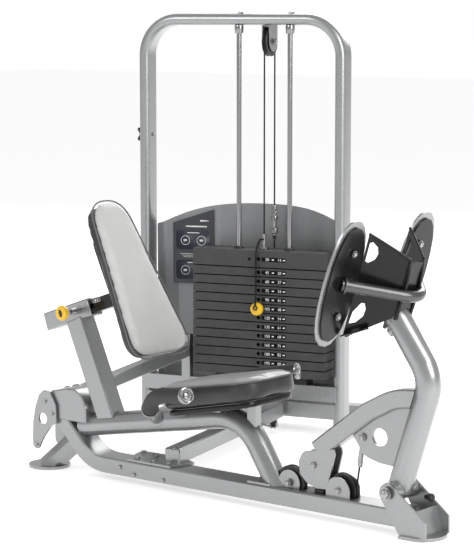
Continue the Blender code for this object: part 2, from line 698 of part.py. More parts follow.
def seat_parts():
    tilt = (0, -SEAT_TILT, 0)
    outline = rounded_outline(SEAT_LENGTH / 2, SEAT_HALF_WIDTH, SEAT_HALF_WIDTH + 0.004, 0.084)
    pad = plate([outline], SEAT_THICK, MACHINE, seat_place(0, SEAT_THICK / 2), tilt, 0.008)
    keep("seat_pad", pad, PAD_LIGHT, MACHINE)
    board_down = SEAT_THICK + GAP + 0.005
    board = plate([rounded_outline(0.145, 0.105, 0.105, 0.055)], 0.010, MACHINE,
                  seat_place(0, board_down), tilt)
    rib_place = seat_place(-0.075, board_down + 0.022)
    ribs = [block((0.120, 0.005, 0.040), MACHINE, (rib_place[0], side * 0.026, rib_place[2]), tilt)
            for side in (-1, 1)]
    post = block((0.030, 0.028, 0.100), MACHINE, (0.153, 0, 0.252), edge=0.003)
    top_cut = plate([rounded_outline(0.4, 0.3, 0.3, 0.05)], 0.1, MACHINE,
                    seat_place(0, board_down - 0.052), tilt)
    post = cut(post, [top_cut])
    turns = cable_turns()
    housing = rod(0.0485, 0.036, MACHINE, turns["guide"], turns["guide_axis"], 14)
    body = cut(combine(board, ribs + [post]), [seat_tube_clearance(), housing])
    keep("seat_support", largest_piece(body), SILVER, MACHINE)


def largest_piece(mesh):
    """Keep only the biggest body of a mesh, leaving out slivers that a cut frees."""
    work = bmesh.new()
    work.from_mesh(mesh)
    left = set(work.verts)
    groups = []
    while left:
        group = {left.pop()}
        edge_of = list(group)
        while edge_of:
            spot = edge_of.pop()
            for link in spot.link_edges:
                other = link.other_vert(spot)
                if other not in group:
                    group.add(other)
                    edge_of.append(other)
        left -= group
        groups.append(group)
    biggest = max(groups, key=len)
    bmesh.ops.delete(work, geom=[v for v in work.verts if v not in biggest], context="VERTS")
    work.to_mesh(mesh)
    work.free()
    return mesh


def handle(side_name, side):
    path = fillet([(-0.172, side * 0.004, 0.186), (-0.112, side * 0.118, 0.234),
                  (-0.036, side * 0.178, 0.294),
                   (GRIP_END[0], side * GRIP_END[1], GRIP_END[2])], 0.070, 4)
    mount = tube(path[:3], 0.0215, MACHINE, 6)
    mount = cut(mount, [seat_tube_clearance()])
    core = tube(path[1:], 0.0125, MACHINE, 4)
    body = combine(largest_piece(mount), [core])
    end = Vector(path[-1])
    way = (end - Vector(path[-2])).normalized()
    cap = rod(0.0215, 0.006, MACHINE, end + way * 0.003, way, 20)
    keep("handle_" + side_name, combine(body, [cap]), SILVER, MACHINE)
    skin = tube(path[3:], 0.0205, MACHINE, 4)
    inner = tube(path[2:] + [end + way * 0.01], 0.0125 + 0.0008, MACHINE, 4)
    clear = [inner, rod(0.03, 0.01, MACHINE, end + way * (0.005 - GAP), way, 20)]
    keep("grip_" + side_name, cut(skin, clear), BLACK_RUBBER, MACHINE)


def sleeve_turn():
    return (0, -SLEEVE_TILT, 0)


def along_sleeve(distance, y=0.0):
    return (SLEEVE_CENTRE[0] + distance * cos(SLEEVE_TILT), y, SLEEVE_CENTRE[1] + distance * sin(SLEEVE_TILT))


def back_post():
    lean = Vector((POST_TOP[0] - POST_FOOT[0], 0, POST_TOP[1] - POST_FOOT[1]))
    centre = Vector((POST_TOP[0] + POST_FOOT[0], 0, POST_TOP[1] + POST_FOOT[1])) / 2
    tilt = (0, -lean.angle(Vector((0, 0, 1))), 0)
    post = block((0.060, 0.056, lean.length + 0.040), MACHINE, centre, tilt, edge=0.003)
    sleeve = block((SLEEVE_LENGTH, SLEEVE_SIZE, SLEEVE_SIZE), MACHINE, along_sleeve(0), sleeve_turn(), 0.003)
    housing = rod(0.0100, 0.040, MACHINE, along_sleeve(PIN_ALONG, -0.040), (0, 1, 0), 16)
    body = combine(post, [sleeve, housing])
    clear = BAR_SIZE + 0.0012
    tunnel = block((SLEEVE_LENGTH + 0.1, clear, clear), MACHINE, along_sleeve(0), sleeve_turn())
    bore = rod(0.0060, 0.090, MACHINE, along_sleeve(PIN_ALONG, -0.055), (0, 1, 0), 12)
    keep("back_post", cut(body, [seat_tube_clearance(), tunnel, bore]), SILVER, MACHINE)


def back_place(up, behind):
    """Point of the back pad: up along it from its middle, and behind its face."""
    x = BACK_CENTRE[0] - up * sin(BACK_TILT) - behind * cos(BACK_TILT)
    z = BACK_CENTRE[1] + up * cos(BACK_TILT) - behind * sin(BACK_TILT)
    return (x, 0, z)


def back_parts():
    turn = (0, pi / 2 - BACK_TILT - pi, 0)
    outline = rounded_outline(BACK_LENGTH / 2, BACK_HALF_WIDTH, BACK_HALF_WIDTH - 0.058, 0.066)
    pad = plate([outline], BACK_THICK, MACHINE, back_place(0, BACK_THICK / 2), turn, 0.008)
    keep("back_pad", pad, PAD_LIGHT, MACHINE)
    board_behind = BACK_THICK + GAP + 0.004
    board = plate([rounded_outline(0.150, 0.080, 0.060, 0.040)], 0.008, MACHINE,
                  back_place(0, board_behind), turn)
    start = -SLEEVE_LENGTH / 2 + 0.012
    end = 0.255
    bar = block((end - start, BAR_SIZE, BAR_SIZE), MACHINE, along_sleeve((start + end) / 2),
                sleeve_turn(), 0.002)
    pad_side = plate([rounded_outline(0.4, 0.3, 0.3, 0.05)], 0.12, MACHINE,
                     back_place(0, board_behind - 0.0602), turn)
    bar = cut(bar, [pad_side])
    groove = block((0.190, 0.014, 0.0125), MACHINE, along_sleeve(PIN_ALONG, -BAR_SIZE / 2), sleeve_turn())
    keep("back_slide_bar", combine(board, [cut(bar, [groove])]), DARK_GLOSS, MACHINE)


def pull_pin():
    shaft = rod(0.0048, 0.082, MACHINE, along_sleeve(PIN_ALONG, -0.0560), (0, 1, 0), 12)
    profile = [(0.0, 0.0130), (0.0150, 0.0110), (0.0200, 0.0040), (0.0200, -0.0040), (0.0130, -0.0100),
               (0.0085, -0.0160), (0.0085, -0.0260), (0.0, -0.0260)]
    knob = turned(profile, MACHINE, along_sleeve(PIN_ALONG, -0.0910), (0, -1, 0), 16)
    keep("pull_pin", combine(shaft, [knob]), YELLOW, MACHINE)


def arm_path():
    return fillet([(PIVOT[0], 0, PIVOT[1]), (0.705, 0, 0.392), (0.588, 0, 0.562)], 0.095, 8)


def lever_path():
    return fillet([(0.368, 0.176, 0), (0.520, 0.292, 0), (0.606, 0.338, 0), (0.700, 0.345, 0)], 0.16, 6)


def press_arm():
    body = tube(arm_path(), BIG_TUBE, MACHINE, 6)
    hub = rod(0.0260, 0.096, MACHINE, (PIVOT[0], 0, PIVOT[1]), (0, 1, 0), 16)
    below = block((0.2, 0.1, 0.1), MACHINE, (PIVOT[0], 0, PIVOT[1] - 0.0765))
    bore = rod(0.0082, 0.2, MACHINE, (PIVOT[0], 0, PIVOT[1]), (0, 1, 0), 14)
    knob = rod(0.0125, 0.024, MACHINE, (0.592, 0, 0.506), (-0.824, 0, -0.567), 20)
    body = cut(combine(body, [hub, knob]), [below, bore])
    keep("press_arm", body, SILVER, MACHINE)


def lever_clearance():
    return section_bar(lever_path(), 0.048 + 2 * GAP, 0.060, 0.004, MACHINE)


def arm_clearance():
    return tube(arm_path(), BIG_TUBE + 0.0012, MACHINE, 6)


def lever_arm():
    body = section_bar(lever_path(), 0.048, 0.038, 0.004, MACHINE)
    cheek = [(0.334, 0.169, 0), (0.325, 0.163, 0), (0.314, 0.141, 0), (0.318, 0.108, 0), (0.343, 0.086, 0),
             (0.372, 0.0775, 0), (0.400, 0.0790, 0), (0.414, 0.118, 0), (0.428, 0.172, 0), (0.424, 0.186, 0),
             (0.374, 0.176, 0)]
    cheeks = [plate([cheek], 0.005, MACHINE, (0, side * 0.0165, 0)) for side in (-1, 1)]
    room = rod(PULLEY_R + 0.002, 0.028, MACHINE, (LEVER_PULLEY[0], 0, LEVER_PULLEY[1]), (0, 1, 0), 20)
    body = cut(body, [room, arm_clearance()])
    axle = rod(0.005, 0.040, MACHINE, (LEVER_PULLEY[0], 0, LEVER_PULLEY[1]), (0, 1, 0), 12)
    keep("lever_arm", combine(body, cheeks + [axle]), SILVER, MACHINE)


def anchor_way():
    """Cable direction from its end fitting down to the rail pulley, with the point where it meets it."""
    centre = Vector((RAIL_PULLEY[0], 0, RAIL_PULLEY[1]))
    spot = Vector((ANCHOR[0], 0, ANCHOR[1]))
    offset = spot - centre
    reach = (offset.length ** 2 - CABLE_RUN_R ** 2) ** 0.5
    turn = Matrix.Rotation(atan2(reach, CABLE_RUN_R), 3, "Y")
    touch = centre + (turn @ offset).normalized() * CABLE_RUN_R
    return (touch - spot).normalized(), touch


def gusset_plate():
    outline = [(0.462, 0.262, 0), (0.472, 0.230, 0), (0.492, 0.203, 0), (0.500, 0.186, 0), (0.520, 0.176, 0),
               (0.555, 0.167, 0), (0.640, 0.160, 0), (0.705, 0.300, 0), (0.690, 0.345, 0), (0.540, 0.330, 0)]
    hole = arc((0.556, 0.232), 0.0235, 0, 340, 17)
    body = plate([outline, hole], 0.010, MACHINE)
    way, _touch = anchor_way()
    start = Vector((ANCHOR[0], 0, ANCHOR[1]))
    fitting = rod(0.0068, 0.036, MACHINE, start + way * 0.010, way, 12)
    body = cut(body, [lever_clearance(), arm_clearance()])
    bolt = rod(0.0095, 0.018, MACHINE, (0.504, 0, 0.226), (0, 1, 0), 6)
    keep("gusset_plate", combine(largest_piece(body), [fitting, bolt]), SILVER, MACHINE)


def oval(half_y, half_z, steps=24, power=2.3):
    outline = []
    for step in range(steps):
        angle = 2 * pi * step / steps
        y = abs(cos(angle)) ** (2 / power) * (1 if cos(angle) > 0 else -1)
        z = abs(sin(angle)) ** (2 / power) * (1 if sin(angle) > 0 else -1)
        outline.append((half_y * y, half_z * z, 0))
    return outline


def foot_plate(name, side):
    body = plate([oval(*FOOT_PLATE_HALF)], 0.006, FOOT, (0, side * FOOT_PLATE_Y, 0), FACING_BACK)
    keep(name, body, SILVER, FOOT)


def web_outline():
    top = [(0.0, 0.128, 0), (0.112, 0.086, 0)]
    back = [(0.118, 0.040, 0), (0.116, -0.030, 0), (0.104, -0.066, 0)]
    low = [(0.050, -0.108, 0), (0.010, -0.142, 0), (0.0, -0.142, 0)]
    return top + back + low


def foot_bracket():
    flange = oval(0.060, 0.149, 20)
    x = 0.003 + GAP + 0.0025
    start = Vector((x - 0.001, 0.088))
    end = Vector((0.100, 0.028))
    yaw = (end - start).angle(Vector((1, 0)))
    pieces = []
    for side in (-1, 1):
        pieces.append(plate([flange], 0.005, FOOT, (x, side * FOOT_PLATE_Y, 0), FACING_BACK))
        holes = [[(0.007, 0.058, 0), (0.015, 0.056, 0), (0.028, 0.067, 0), (0.033, 0.084, 0),
                  (0.028, 0.100, 0), (0.014, 0.110, 0), (0.007, 0.106, 0)],
                 [(0.006, -0.108, 0), (0.022, -0.100, 0), (0.036, -0.080, 0), (0.038, -0.060, 0),
                  (0.032, -0.046, 0), (0.024, -0.047, 0), (0.009, -0.075, 0)]]
        pieces.append(plate([web_outline()] + holes, 0.005, FOOT, (start.x, side * start.y, 0),
                            (pi / 2, 0, -side * yaw)))
        bolts = [rod(0.0075, 0.008, FOOT, (x + 0.006, side * (FOOT_PLATE_Y - 0.008), z), (1, 0, 0), 6)
                 for z in (-0.082, 0.082)]
        pieces += bolts
    back = [(-0.034, -0.066, 0), (0.034, -0.066, 0), (0.034, 0.083, 0), (-0.034, 0.083, 0)]
    pieces.append(plate([back], 0.005, FOOT, (0.1025, 0, 0), FACING_BACK))
    body = combine(pieces[0], pieces[1:])
    room = tube(cross_tube_path(), CROSS_TUBE_R + 0.0015, FOOT, 4)
    keep("foot_bracket", largest_piece(cut(body, [arm_clearance(), room])), DARK_GLOSS, FOOT)


def cross_tube_path():
    x = 0.003 + GAP + 0.005 + GAP
    return fillet([(x, -0.128, 0.004), (0.146, 0, -0.014), (x, 0.128, 0.004)], 0.040, 6)


def foot_cross_tube():
    x = 0.003 + GAP + 0.005 + GAP
    body = tube(cross_tube_path(), CROSS_TUBE_R, FOOT, 4)
    collars = [rod(0.0165, 0.010, FOOT, (x + 0.0052, side * 0.128, 0.004), (1, 0, 0), 16) for side in (-1, 1)]
    body = combine(body, collars)
    keep("foot_cross_tube", cut(body, [block((0.05, 0.4, 0.1), FOOT, (x - 0.025, 0, 0))]), DARK_GLOSS, FOOT)


def stop_bumper():
    body = block((0.030, 0.040, 0.0110), MACHINE, (0.3790, 0, RAIL_TOP + GAP + 0.0055), edge=0.002)
    keep("stop_bumper", body, BLACK_RUBBER, MACHINE)


def upright_arc(centre, start, end, steps):
    return [(p[0], 0, p[1]) for p in arc(centre, CABLE_RUN_R, start, end, steps)]


def cables():
    n = TOP_PULLEY_N
    front = [(STACK_U, STACK_N, stack_top() + 0.046 + GAP), (STACK_U, STACK_N, TOP_PULLEY_Z - 0.02)]
    front += [(STACK_U, n + p[0], TOP_PULLEY_Z + p[1]) for p in arc((0, 0), CABLE_RUN_R, 180, 0, 12)]
    front += [(STACK_U, n + CABLE_RUN_R, TURNBUCKLE_TOP + GAP)]
    keep("cable_front", tube(front, CABLE_R, TOWER, 3), BLACK_RUBBER, TOWER)
    turns = cable_turns()
    high = Vector(turns["drop"])
    high.z = TURNBUCKLE_LOW - GAP
    rear = [high] + pulley_wrap(turns["lower"], turns["drop"], turns["leave"], turns["lower_axis"])
    rear += pulley_wrap(turns["guide"], turns["meet"], turns["entry"], turns["guide_axis"])
    rear.append(turns["entry"] + turns["along"] * 0.008)
    keep("cable_rear", tube(rear, CABLE_R, MACHINE, 3), BLACK_RUBBER, MACHINE)
    way, touch = anchor_way()
    last = atan2(touch.z - RAIL_PULLEY[1], touch.x - RAIL_PULLEY[0])
    rise = crossing_angle(FOOT_PULLEY, LEVER_PULLEY, -1)
    fall = crossing_angle(LEVER_PULLEY, RAIL_PULLEY, 1)
    arm = upright_arc(FOOT_PULLEY, 170, 360 + rise, 10) + upright_arc(LEVER_PULLEY, 180 + rise, fall, 10)
    arm += upright_arc(RAIL_PULLEY, 180 + fall, 360 + degrees(last), 10)
    arm.append(Vector((ANCHOR[0], 0, ANCHOR[1])) + way * (0.028 + GAP))
    keep("cable_arm", tube(arm, CABLE_R, MACHINE, 3), BLACK_RUBBER, MACHINE)


def crossing_angle(first, second, side):
    """Angle at which the cable leaves the first wheel to cross to the other side of the second."""
    away = Vector(second) - Vector(first)
    return degrees(atan2(away.y, away.x) + side * acos(2 * CABLE_RUN_R / away.length))


def pulley_wrap(centre, start, end, axis, steps=8):
    """Cable points round a pulley from start to end."""
    first = Vector(start) - Vector(centre)
    last = Vector(end) - Vector(centre)
    turn = first.angle(last)
    sign = 1 if first.cross(last).dot(axis) > 0 else -1
    return [Vector(centre) + Matrix.Rotation(sign * turn * k / steps, 3, axis) @ first
            for k in range(steps + 1)]


def turnbuckle():
    middle = (TURNBUCKLE_TOP + TURNBUCKLE_LOW) / 2
    half = (TURNBUCKLE_TOP - TURNBUCKLE_LOW) / 2
    profile = [(0.0, half), (0.0060, half), (0.0060, 0.024), (0.0105, 0.024), (0.0105, 0.018),
               (0.0080, 0.016),
               (0.0080, -0.018), (0.0115, -0.020), (0.0115, -0.032), (0.0060, -0.036), (0.0060, -half),
               (0.0, -half)]
    place = (STACK_U, TOP_PULLEY_N + CABLE_RUN_R, middle)
    keep("turnbuckle", turned(profile, TOWER, place, (0, 0, 1), 16), CHROME, TOWER)


def lanyard():
    front = STACK_N - STACK_DEPTH / 2
    knob_z = pin_height()
    path = [(STACK_U, STACK_N - 0.0098, stack_top() + 0.030), (STACK_U - 0.002, STACK_N - 0.026,
            stack_top() + 0.034),
            (STACK_U - 0.004, front - 0.009, stack_top() + 0.004),
            (STACK_U - 0.004, front - 0.012, stack_top() - 0.080),
            (STACK_U - 0.002, front - 0.014, knob_z + 0.060), (STACK_U, front - 0.024, knob_z + 0.0250)]
    smooth = fillet(path, 0.012, 3)
    keep("lanyard", tube(smooth, 0.0030, TOWER, 3), BLACK_RUBBER, TOWER)


def build():
    base_rail()
    rear_foot()
    front_foot()
    pivot_axle()
    seat_frame_tube()
    rear_bracket("rear_bracket_near", -1)
    rear_bracket("rear_bracket_far", 1)
    rear_cross_beam()
    connecting_beam()
    tower_frame()
    top_pulley_parts()
    guide_rods()
    stack_cushion()
    weight_stack()
    selector_parts()
    shroud()
    placard()
    seat_parts()
    handle("near", -1)
    handle("far", 1)
    back_post()
    back_parts()
    pull_pin()
    press_arm()
    lever_arm()
    gusset_plate()
    foot_plate("foot_plate_near", -1)
    foot_plate("foot_plate_far", 1)
    foot_bracket()
    foot_cross_tube()
    stop_bumper()
    turns = cable_turns()
    pulley("lower_pulley", MACHINE, turns["lower"], turns["lower_axis"])
    pulley("guide_pulley", MACHINE, turns["guide"], turns["guide_axis"])
    pulley("foot_pulley", MACHINE, (FOOT_PULLEY[0], 0, FOOT_PULLEY[1]), (0, 1, 0))
    pulley("rail_pulley", MACHINE, (RAIL_PULLEY[0], 0, RAIL_PULLEY[1]), (0, 1, 0))
    pulley("lever_pulley", MACHINE, (LEVER_PULLEY[0], 0, LEVER_PULLEY[1]), (0, 1, 0))
    cables()
    turnbuckle()
    lanyard()


clear_scene()
PARTS = collection("leg_press_machine")
CUTTERS = collection("cutters")
MACHINE = empty("machine", (SHIFT_X, SHIFT_Y, 0))
TOWER = empty("tower", (TOWER_X, TOWER_Y, 0), (0, 0, TOWER_TURN), MACHINE)
FOOT = empty("foot_platform", (FOOT_PLATE_CENTRE[0], 0, FOOT_PLATE_CENTRE[1]), (0, FOOT_PLATE_TILT, 0),
             MACHINE)
build()
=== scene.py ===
"""Looks of the seated leg press machine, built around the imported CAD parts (metres, +Z up)."""

import json
from math import acos, atan2, cos, degrees, pi, radians, sin

import bmesh
import bpy
from mathutils import Matrix, Vector


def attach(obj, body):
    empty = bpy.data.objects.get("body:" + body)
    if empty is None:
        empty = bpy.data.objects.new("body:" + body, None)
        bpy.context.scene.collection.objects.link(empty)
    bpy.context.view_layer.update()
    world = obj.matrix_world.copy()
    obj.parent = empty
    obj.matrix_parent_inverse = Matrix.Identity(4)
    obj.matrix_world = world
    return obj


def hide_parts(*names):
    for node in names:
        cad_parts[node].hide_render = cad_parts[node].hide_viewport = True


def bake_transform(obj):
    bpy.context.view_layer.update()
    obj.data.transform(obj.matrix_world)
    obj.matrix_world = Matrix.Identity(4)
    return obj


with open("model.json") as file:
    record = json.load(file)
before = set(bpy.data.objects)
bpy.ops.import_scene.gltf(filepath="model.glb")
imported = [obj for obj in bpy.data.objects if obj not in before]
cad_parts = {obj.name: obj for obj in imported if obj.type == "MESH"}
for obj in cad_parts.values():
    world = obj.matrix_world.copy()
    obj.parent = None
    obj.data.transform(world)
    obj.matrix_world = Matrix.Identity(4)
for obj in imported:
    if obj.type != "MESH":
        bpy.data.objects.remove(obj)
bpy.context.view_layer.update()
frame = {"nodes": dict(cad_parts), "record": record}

# Places: the machine's own frame and the turned weight tower, in the row frame
MACHINE = Matrix.Translation((0.0546, -0.3824, 0.0))
TOWER = MACHINE @ Matrix.Translation((-0.467, 0.7395, 0.0)) @ Matrix.Rotation(radians(15), 4, "Z")
FOOT = MACHINE @ Matrix.Translation((0.5365, 0.0, 0.630)) @ Matrix.Rotation(radians(17), 4, "Y")
SEAT_TILT = radians(11.6)
SEAT_TOP = Vector((0.0585, 0.0, 0.3310))
SEAT_SIZE = (0.352, 0.124, 0.128, 0.066)
BACK_TILT = radians(28)
BACK_FACE = Vector((-0.252, 0.0, 0.572))
BACK_SIZE = (0.464, 0.070, 0.128, 0.046)
SLEEVE_TILT = radians(19)
SLEEVE_CENTRE = Vector((-0.493, 0.0, 0.447))
SLEEVE = MACHINE @ (Matrix.Translation(SLEEVE_CENTRE) @ Matrix.Rotation(-SLEEVE_TILT, 4, "Y"))
PIN_ALONG = 0.050

# Arm linkage in the machine's side plane, as (x, z)
PIVOT = (0.614, 0.107)
LEVER_PULLEY = (0.361, 0.127)
RAIL_PULLEY = (0.441, 0.081)
FOOT_PULLEY = (0.280, 0.079)
ANCHOR = (0.498, 0.186)

# Weight tower, stack, cable and pulleys
STACK_U = 0.076
STACK_N = -0.030
STACK_FRONT = STACK_N - 0.045
STACK_BASE = 0.190
PLATE_PITCH = 0.0276
PLATE_GAP = 0.0034
PLATE_COUNT = 12
TOP_PLATE = 0.050
STACK_TOP = STACK_BASE + PLATE_COUNT * PLATE_PITCH + TOP_PLATE
ROD_SPACING = 0.166
TOWER_HEIGHT = 1.278
TOP_PULLEY_Z = 1.196
HOOP_U = 0.322
HOOP_HALF = 0.016
HOOP_BEND = 0.110
BUCKLE_Z = 0.645
BUCKLE_HALF = 0.053
FACE_GAP = 0.0004
CABLE_R = 0.0024
RUN_R = 0.040
WHEEL_R = 0.0442
WHEEL_HALF = 0.0078
GROOVE_R = 0.0376

# Handles, foot tube, pad simulation, plate loads, stage and camera
GRIP_END = (0.116, 0.233, 0.319)
GRIP_R = 0.0205
GRIP_START = 0.142
HANDLE_R = 0.0150
HANDLE_START = 0.030
SHARP_ANGLE = 42
CLOTH_FRAMES = 20
CLOTH_PRESSURE = 4.0
PAD_MESH_SIZE = 0.0055
FOOT_TUBE_R = 0.0148
PICKED_PLATES = 5
FIRST_POUNDS = 30
POUNDS_STEP = 15
KG_PER_POUND = 0.4536
SKY_LIT = 0.54
SKY_SEEN = 1.0
FLOOR_GLOW = 0.50
CAMERA_PLACE = (3.4924, -4.5392, 1.28)
CAMERA_TURN = (radians(82.75), 0, radians(38.8))
CAMERA_LENS = 134.59


# ---------------------------------------------------------------- materials

def node(tree, kind, **values):
    made = tree.nodes.new(kind)
    for key, value in values.items():
        if hasattr(made, key):
            setattr(made, key, value)
        else:
            made.inputs[key.replace("_", " ")].default_value = value
    return made


def surface(name, colour, rough, metal=0.0, coat=0.0, mottle=0.05, mottle_scale=9.0, grain=700.0, bump=0.15,
            depth=0.0002, cells=False, edge=0.0, rough_spread=0.05, gloss=0.5):
    """Procedural finish: large soft mottle, fine grain bump, uneven gloss, and rounded edges."""
    made = bpy.data.materials.new(name)
    made.use_nodes = True
    tree = made.node_tree
    shader = tree.nodes["Principled BSDF"]
    shader.inputs["Metallic"].default_value = metal
    shader.inputs["Coat Weight"].default_value = coat
    shader.inputs["Specular IOR Level"].default_value = gloss
    shader.inputs["Coat Roughness"].default_value = 0.12
    place = node(tree, "ShaderNodeTexCoord").outputs["Object"]
    large = node(tree, "ShaderNodeTexNoise", Scale=mottle_scale, Detail=5.0, Roughness=0.6)
    fine = node(tree, "ShaderNodeTexNoise", Scale=grain * 0.35, Detail=3.0)
    tree.links.new(place, large.inputs["Vector"])
    tree.links.new(place, fine.inputs["Vector"])
    ramp = node(tree, "ShaderNodeValToRGB")
    low = [max(0.0, c * (1 - mottle)) for c in colour]
    high = [min(1.0, c * (1 + mottle)) for c in colour]
    ramp.color_ramp.elements[0].position = 0.3
    ramp.color_ramp.elements[1].position = 0.7
    ramp.color_ramp.elements[0].color = (*low, 1)
    ramp.color_ramp.elements[1].color = (*high, 1)
    mix = node(tree, "ShaderNodeMath", operation="MULTIPLY_ADD")
    mix.inputs[1].default_value = 0.35
    tree.links.new(fine.outputs["Fac"], mix.inputs[0])
    tree.links.new(large.outputs["Fac"], mix.inputs[2])
    shift = node(tree, "ShaderNodeMath", operation="SUBTRACT")
    shift.inputs[1].default_value = 0.175
    tree.links.new(mix.outputs[0], shift.inputs[0])
    tree.links.new(shift.outputs[0], ramp.inputs["Fac"])
    tree.links.new(ramp.outputs["Color"], shader.inputs["Base Color"])
    spread = node(tree, "ShaderNodeMapRange", From_Min=0.3, From_Max=0.7,
                  To_Min=max(0.02, rough - rough_spread), To_Max=min(1.0, rough + rough_spread))
    tree.links.new(large.outputs["Fac"], spread.inputs["Value"])
    tree.links.new(spread.outputs["Result"], shader.inputs["Roughness"])
    if cells:
        texture = node(tree, "ShaderNodeTexVoronoi", Scale=grain)
        height = texture.outputs["Distance"]
    else:
        texture = node(tree, "ShaderNodeTexNoise", Scale=grain, Detail=2.0)
        height = texture.outputs["Fac"]
    tree.links.new(place, texture.inputs["Vector"])
    relief = node(tree, "ShaderNodeBump", Strength=bump, Distance=depth)
    tree.links.new(height, relief.inputs["Height"])
    if edge:
        soft = node(tree, "ShaderNodeBevel", samples=4, Radius=edge)
        tree.links.new(soft.outputs["Normal"], relief.inputs["Normal"])
    tree.links.new(relief.outputs["Normal"], shader.inputs["Normal"])
    return made


PAINT = surface("silver_paint", (0.345, 0.350, 0.354), 0.30, metal=0.76, coat=0.30, mottle=0.03, grain=900,
                bump=0.10, edge=0.0016)
SHROUD = surface("shroud_paint", (0.25, 0.255, 0.26), 0.38, metal=0.25, coat=0.3, mottle=0.05, grain=800,
                 bump=0.10)
DARK = surface("charcoal_gloss", (0.010, 0.0095, 0.010), 0.22, metal=0.0, coat=0.10, mottle=0.12, grain=600,
               bump=0.08, edge=0.0016, gloss=0.28)
GUNMETAL = surface("gunmetal_gloss", (0.085, 0.085, 0.087), 0.26, metal=0.60, coat=0.4, mottle=0.08,
                   grain=800, bump=0.08)
CHROME = surface("polished_chrome", (0.34, 0.34, 0.348), 0.17, metal=1.0, mottle=0.02, grain=500, bump=0.004,
                 rough_spread=0.02)
STEEL = surface("brushed_steel", (0.36, 0.36, 0.365), 0.27, metal=0.95, mottle=0.06, grain=1800, bump=0.12,
                rough_spread=0.08)
ZINC = surface("zinc_bolt", (0.40, 0.398, 0.39), 0.26, metal=0.9, mottle=0.10, mottle_scale=60, grain=1200,
               bump=0.10, rough_spread=0.08)
RUBBER = surface("black_rubber", (0.018, 0.018, 0.019), 0.62, mottle=0.15, grain=1100, bump=0.35,
                 depth=0.0003)
CABLE = surface("cable_jacket", (0.009, 0.009, 0.010), 0.48, gloss=0.22, mottle=0.2, grain=1500, bump=0.15)
NYLON = surface("pulley_nylon", (0.022, 0.022, 0.023), 0.42, mottle=0.12, grain=900, bump=0.2)
IRON = surface("stack_paint", (0.052, 0.052, 0.054), 0.50, metal=0.15, mottle=0.14, mottle_scale=22,
               grain=1300, bump=0.45, depth=0.0004, rough_spread=0.09, edge=0.0014)
# Near-black print colour for the plate labels and scale marks; also the painted shade standing in for the
# top plate's holes
LABEL_AND_HOLE_SHADE = surface("label_black_and_hole_shade", (0.006, 0.006, 0.0065), 0.45, gloss=0.08, mottle=0.1, grain=900, bump=0.03)
PRINT = surface("label_print", (0.80, 0.80, 0.80), 0.45, mottle=0.03, grain=1500, bump=0.03)
YELLOW = surface("yellow_plastic", (0.82, 0.50, 0.025), 0.30, coat=0.4, mottle=0.05, grain=700, bump=0.08)
SEAT_TOPCOAT = surface("seat_vinyl", (0.30, 0.30, 0.303), 0.36, coat=0.25, mottle=0.05, mottle_scale=14,
                       grain=850, bump=0.32, depth=0.0003, cells=True, rough_spread=0.06)
BACK_TOPCOAT = surface("back_vinyl", (0.475, 0.472, 0.462), 0.42, coat=0.12, mottle=0.035, mottle_scale=12,
                       grain=850, bump=0.30, depth=0.0003, cells=True)
SIDE_VINYL = surface("side_vinyl", (0.038, 0.038, 0.040), 0.36, coat=0.15, gloss=0.35, mottle=0.10,
                     mottle_scale=16, grain=850, bump=0.34, depth=0.0003, cells=True)
PIPING = surface("seam_thread", (0.12, 0.12, 0.122), 0.6, mottle=0.1, grain=1800, bump=0.5, depth=0.0003)
BOARD = surface("placard_face", (0.026, 0.028, 0.034), 0.34, coat=0.3, mottle=0.1, grain=700, bump=0.04)
SLATE = surface("placard_blue", (0.040, 0.047, 0.066), 0.4, mottle=0.06, grain=900, bump=0.03)
PALE = surface("floor_pale", (0.84, 0.84, 0.84), 0.8, mottle=0.006, mottle_scale=2, grain=90, bump=0.02)
PALE.node_tree.nodes["Principled BSDF"].inputs["Emission Color"].default_value = (1, 1, 1, 1)
PALE.node_tree.nodes["Principled BSDF"].inputs["Emission Strength"].default_value = FLOOR_GLOW

FINISH = {"frame_paint": PAINT, "shroud_paint": SHROUD, "dark_paint": DARK, "tube_paint": GUNMETAL,
          "bright_metal": CHROME, "black_rubber": RUBBER, "cable_jacket": CABLE, "pulley_plastic": NYLON,
          "stack_iron": IRON, "seat_vinyl": SEAT_TOPCOAT, "back_vinyl": BACK_TOPCOAT, "yellow_knob": YELLOW,
          "placard_face": BOARD}


def smooth_shading(sharp=SHARP_ANGLE):
    """Node group that welds a mesh and shades it smoothly, except across edges sharper than the angle."""
    group = bpy.data.node_groups.new("smooth_shading", "GeometryNodeTree")
    for way in ("INPUT", "OUTPUT"):
        group.interface.new_socket("Geometry", in_out=way, socket_type="NodeSocketGeometry")
    kinds = ["NodeGroupInput", "GeometryNodeMergeByDistance", "GeometryNodeSetShadeSmooth",
             "GeometryNodeSetShadeSmooth", "NodeGroupOutput"]
    chain = [group.nodes.new(kind) for kind in kinds]
    chain[1].inputs["Distance"].default_value = 0.00001
    chain[2].domain = "FACE"
    chain[3].domain = "EDGE"
    chain[3].inputs["Shade Smooth"].default_value = False
    angle = group.nodes.new("GeometryNodeInputMeshEdgeAngle")
    above = group.nodes.new("FunctionNodeCompare")
    above.operation = "GREATER_THAN"
    above.inputs[1].default_value = radians(sharp)
    group.links.new(angle.outputs["Unsigned Angle"], above.inputs[0])
    group.links.new(above.outputs["Result"], chain[3].inputs["Selection"])
    for first, second in zip(chain, chain[1:]):
        group.links.new(first.outputs[0], second.inputs[0])
    return group


def finish_cad_nodes():
    """Gives each CAD node its finish, and smooth round faces by modifiers that leave its mesh alone."""
    slots = {row["node"]: row["material_slot"] for row in frame["record"]["subparts"]}
    group = smooth_shading()
    for name, thing in frame["nodes"].items():
        thing.modifiers.new("smooth_shading", "NODES").node_group = group
        even = thing.modifiers.new("even_normals", "WEIGHTED_NORMAL")
        even.keep_sharp = True
        for slot in thing.material_slots:
            slot.material = FINISH[slots[name]]


# ---------------------------------------------------------------- mesh helpers

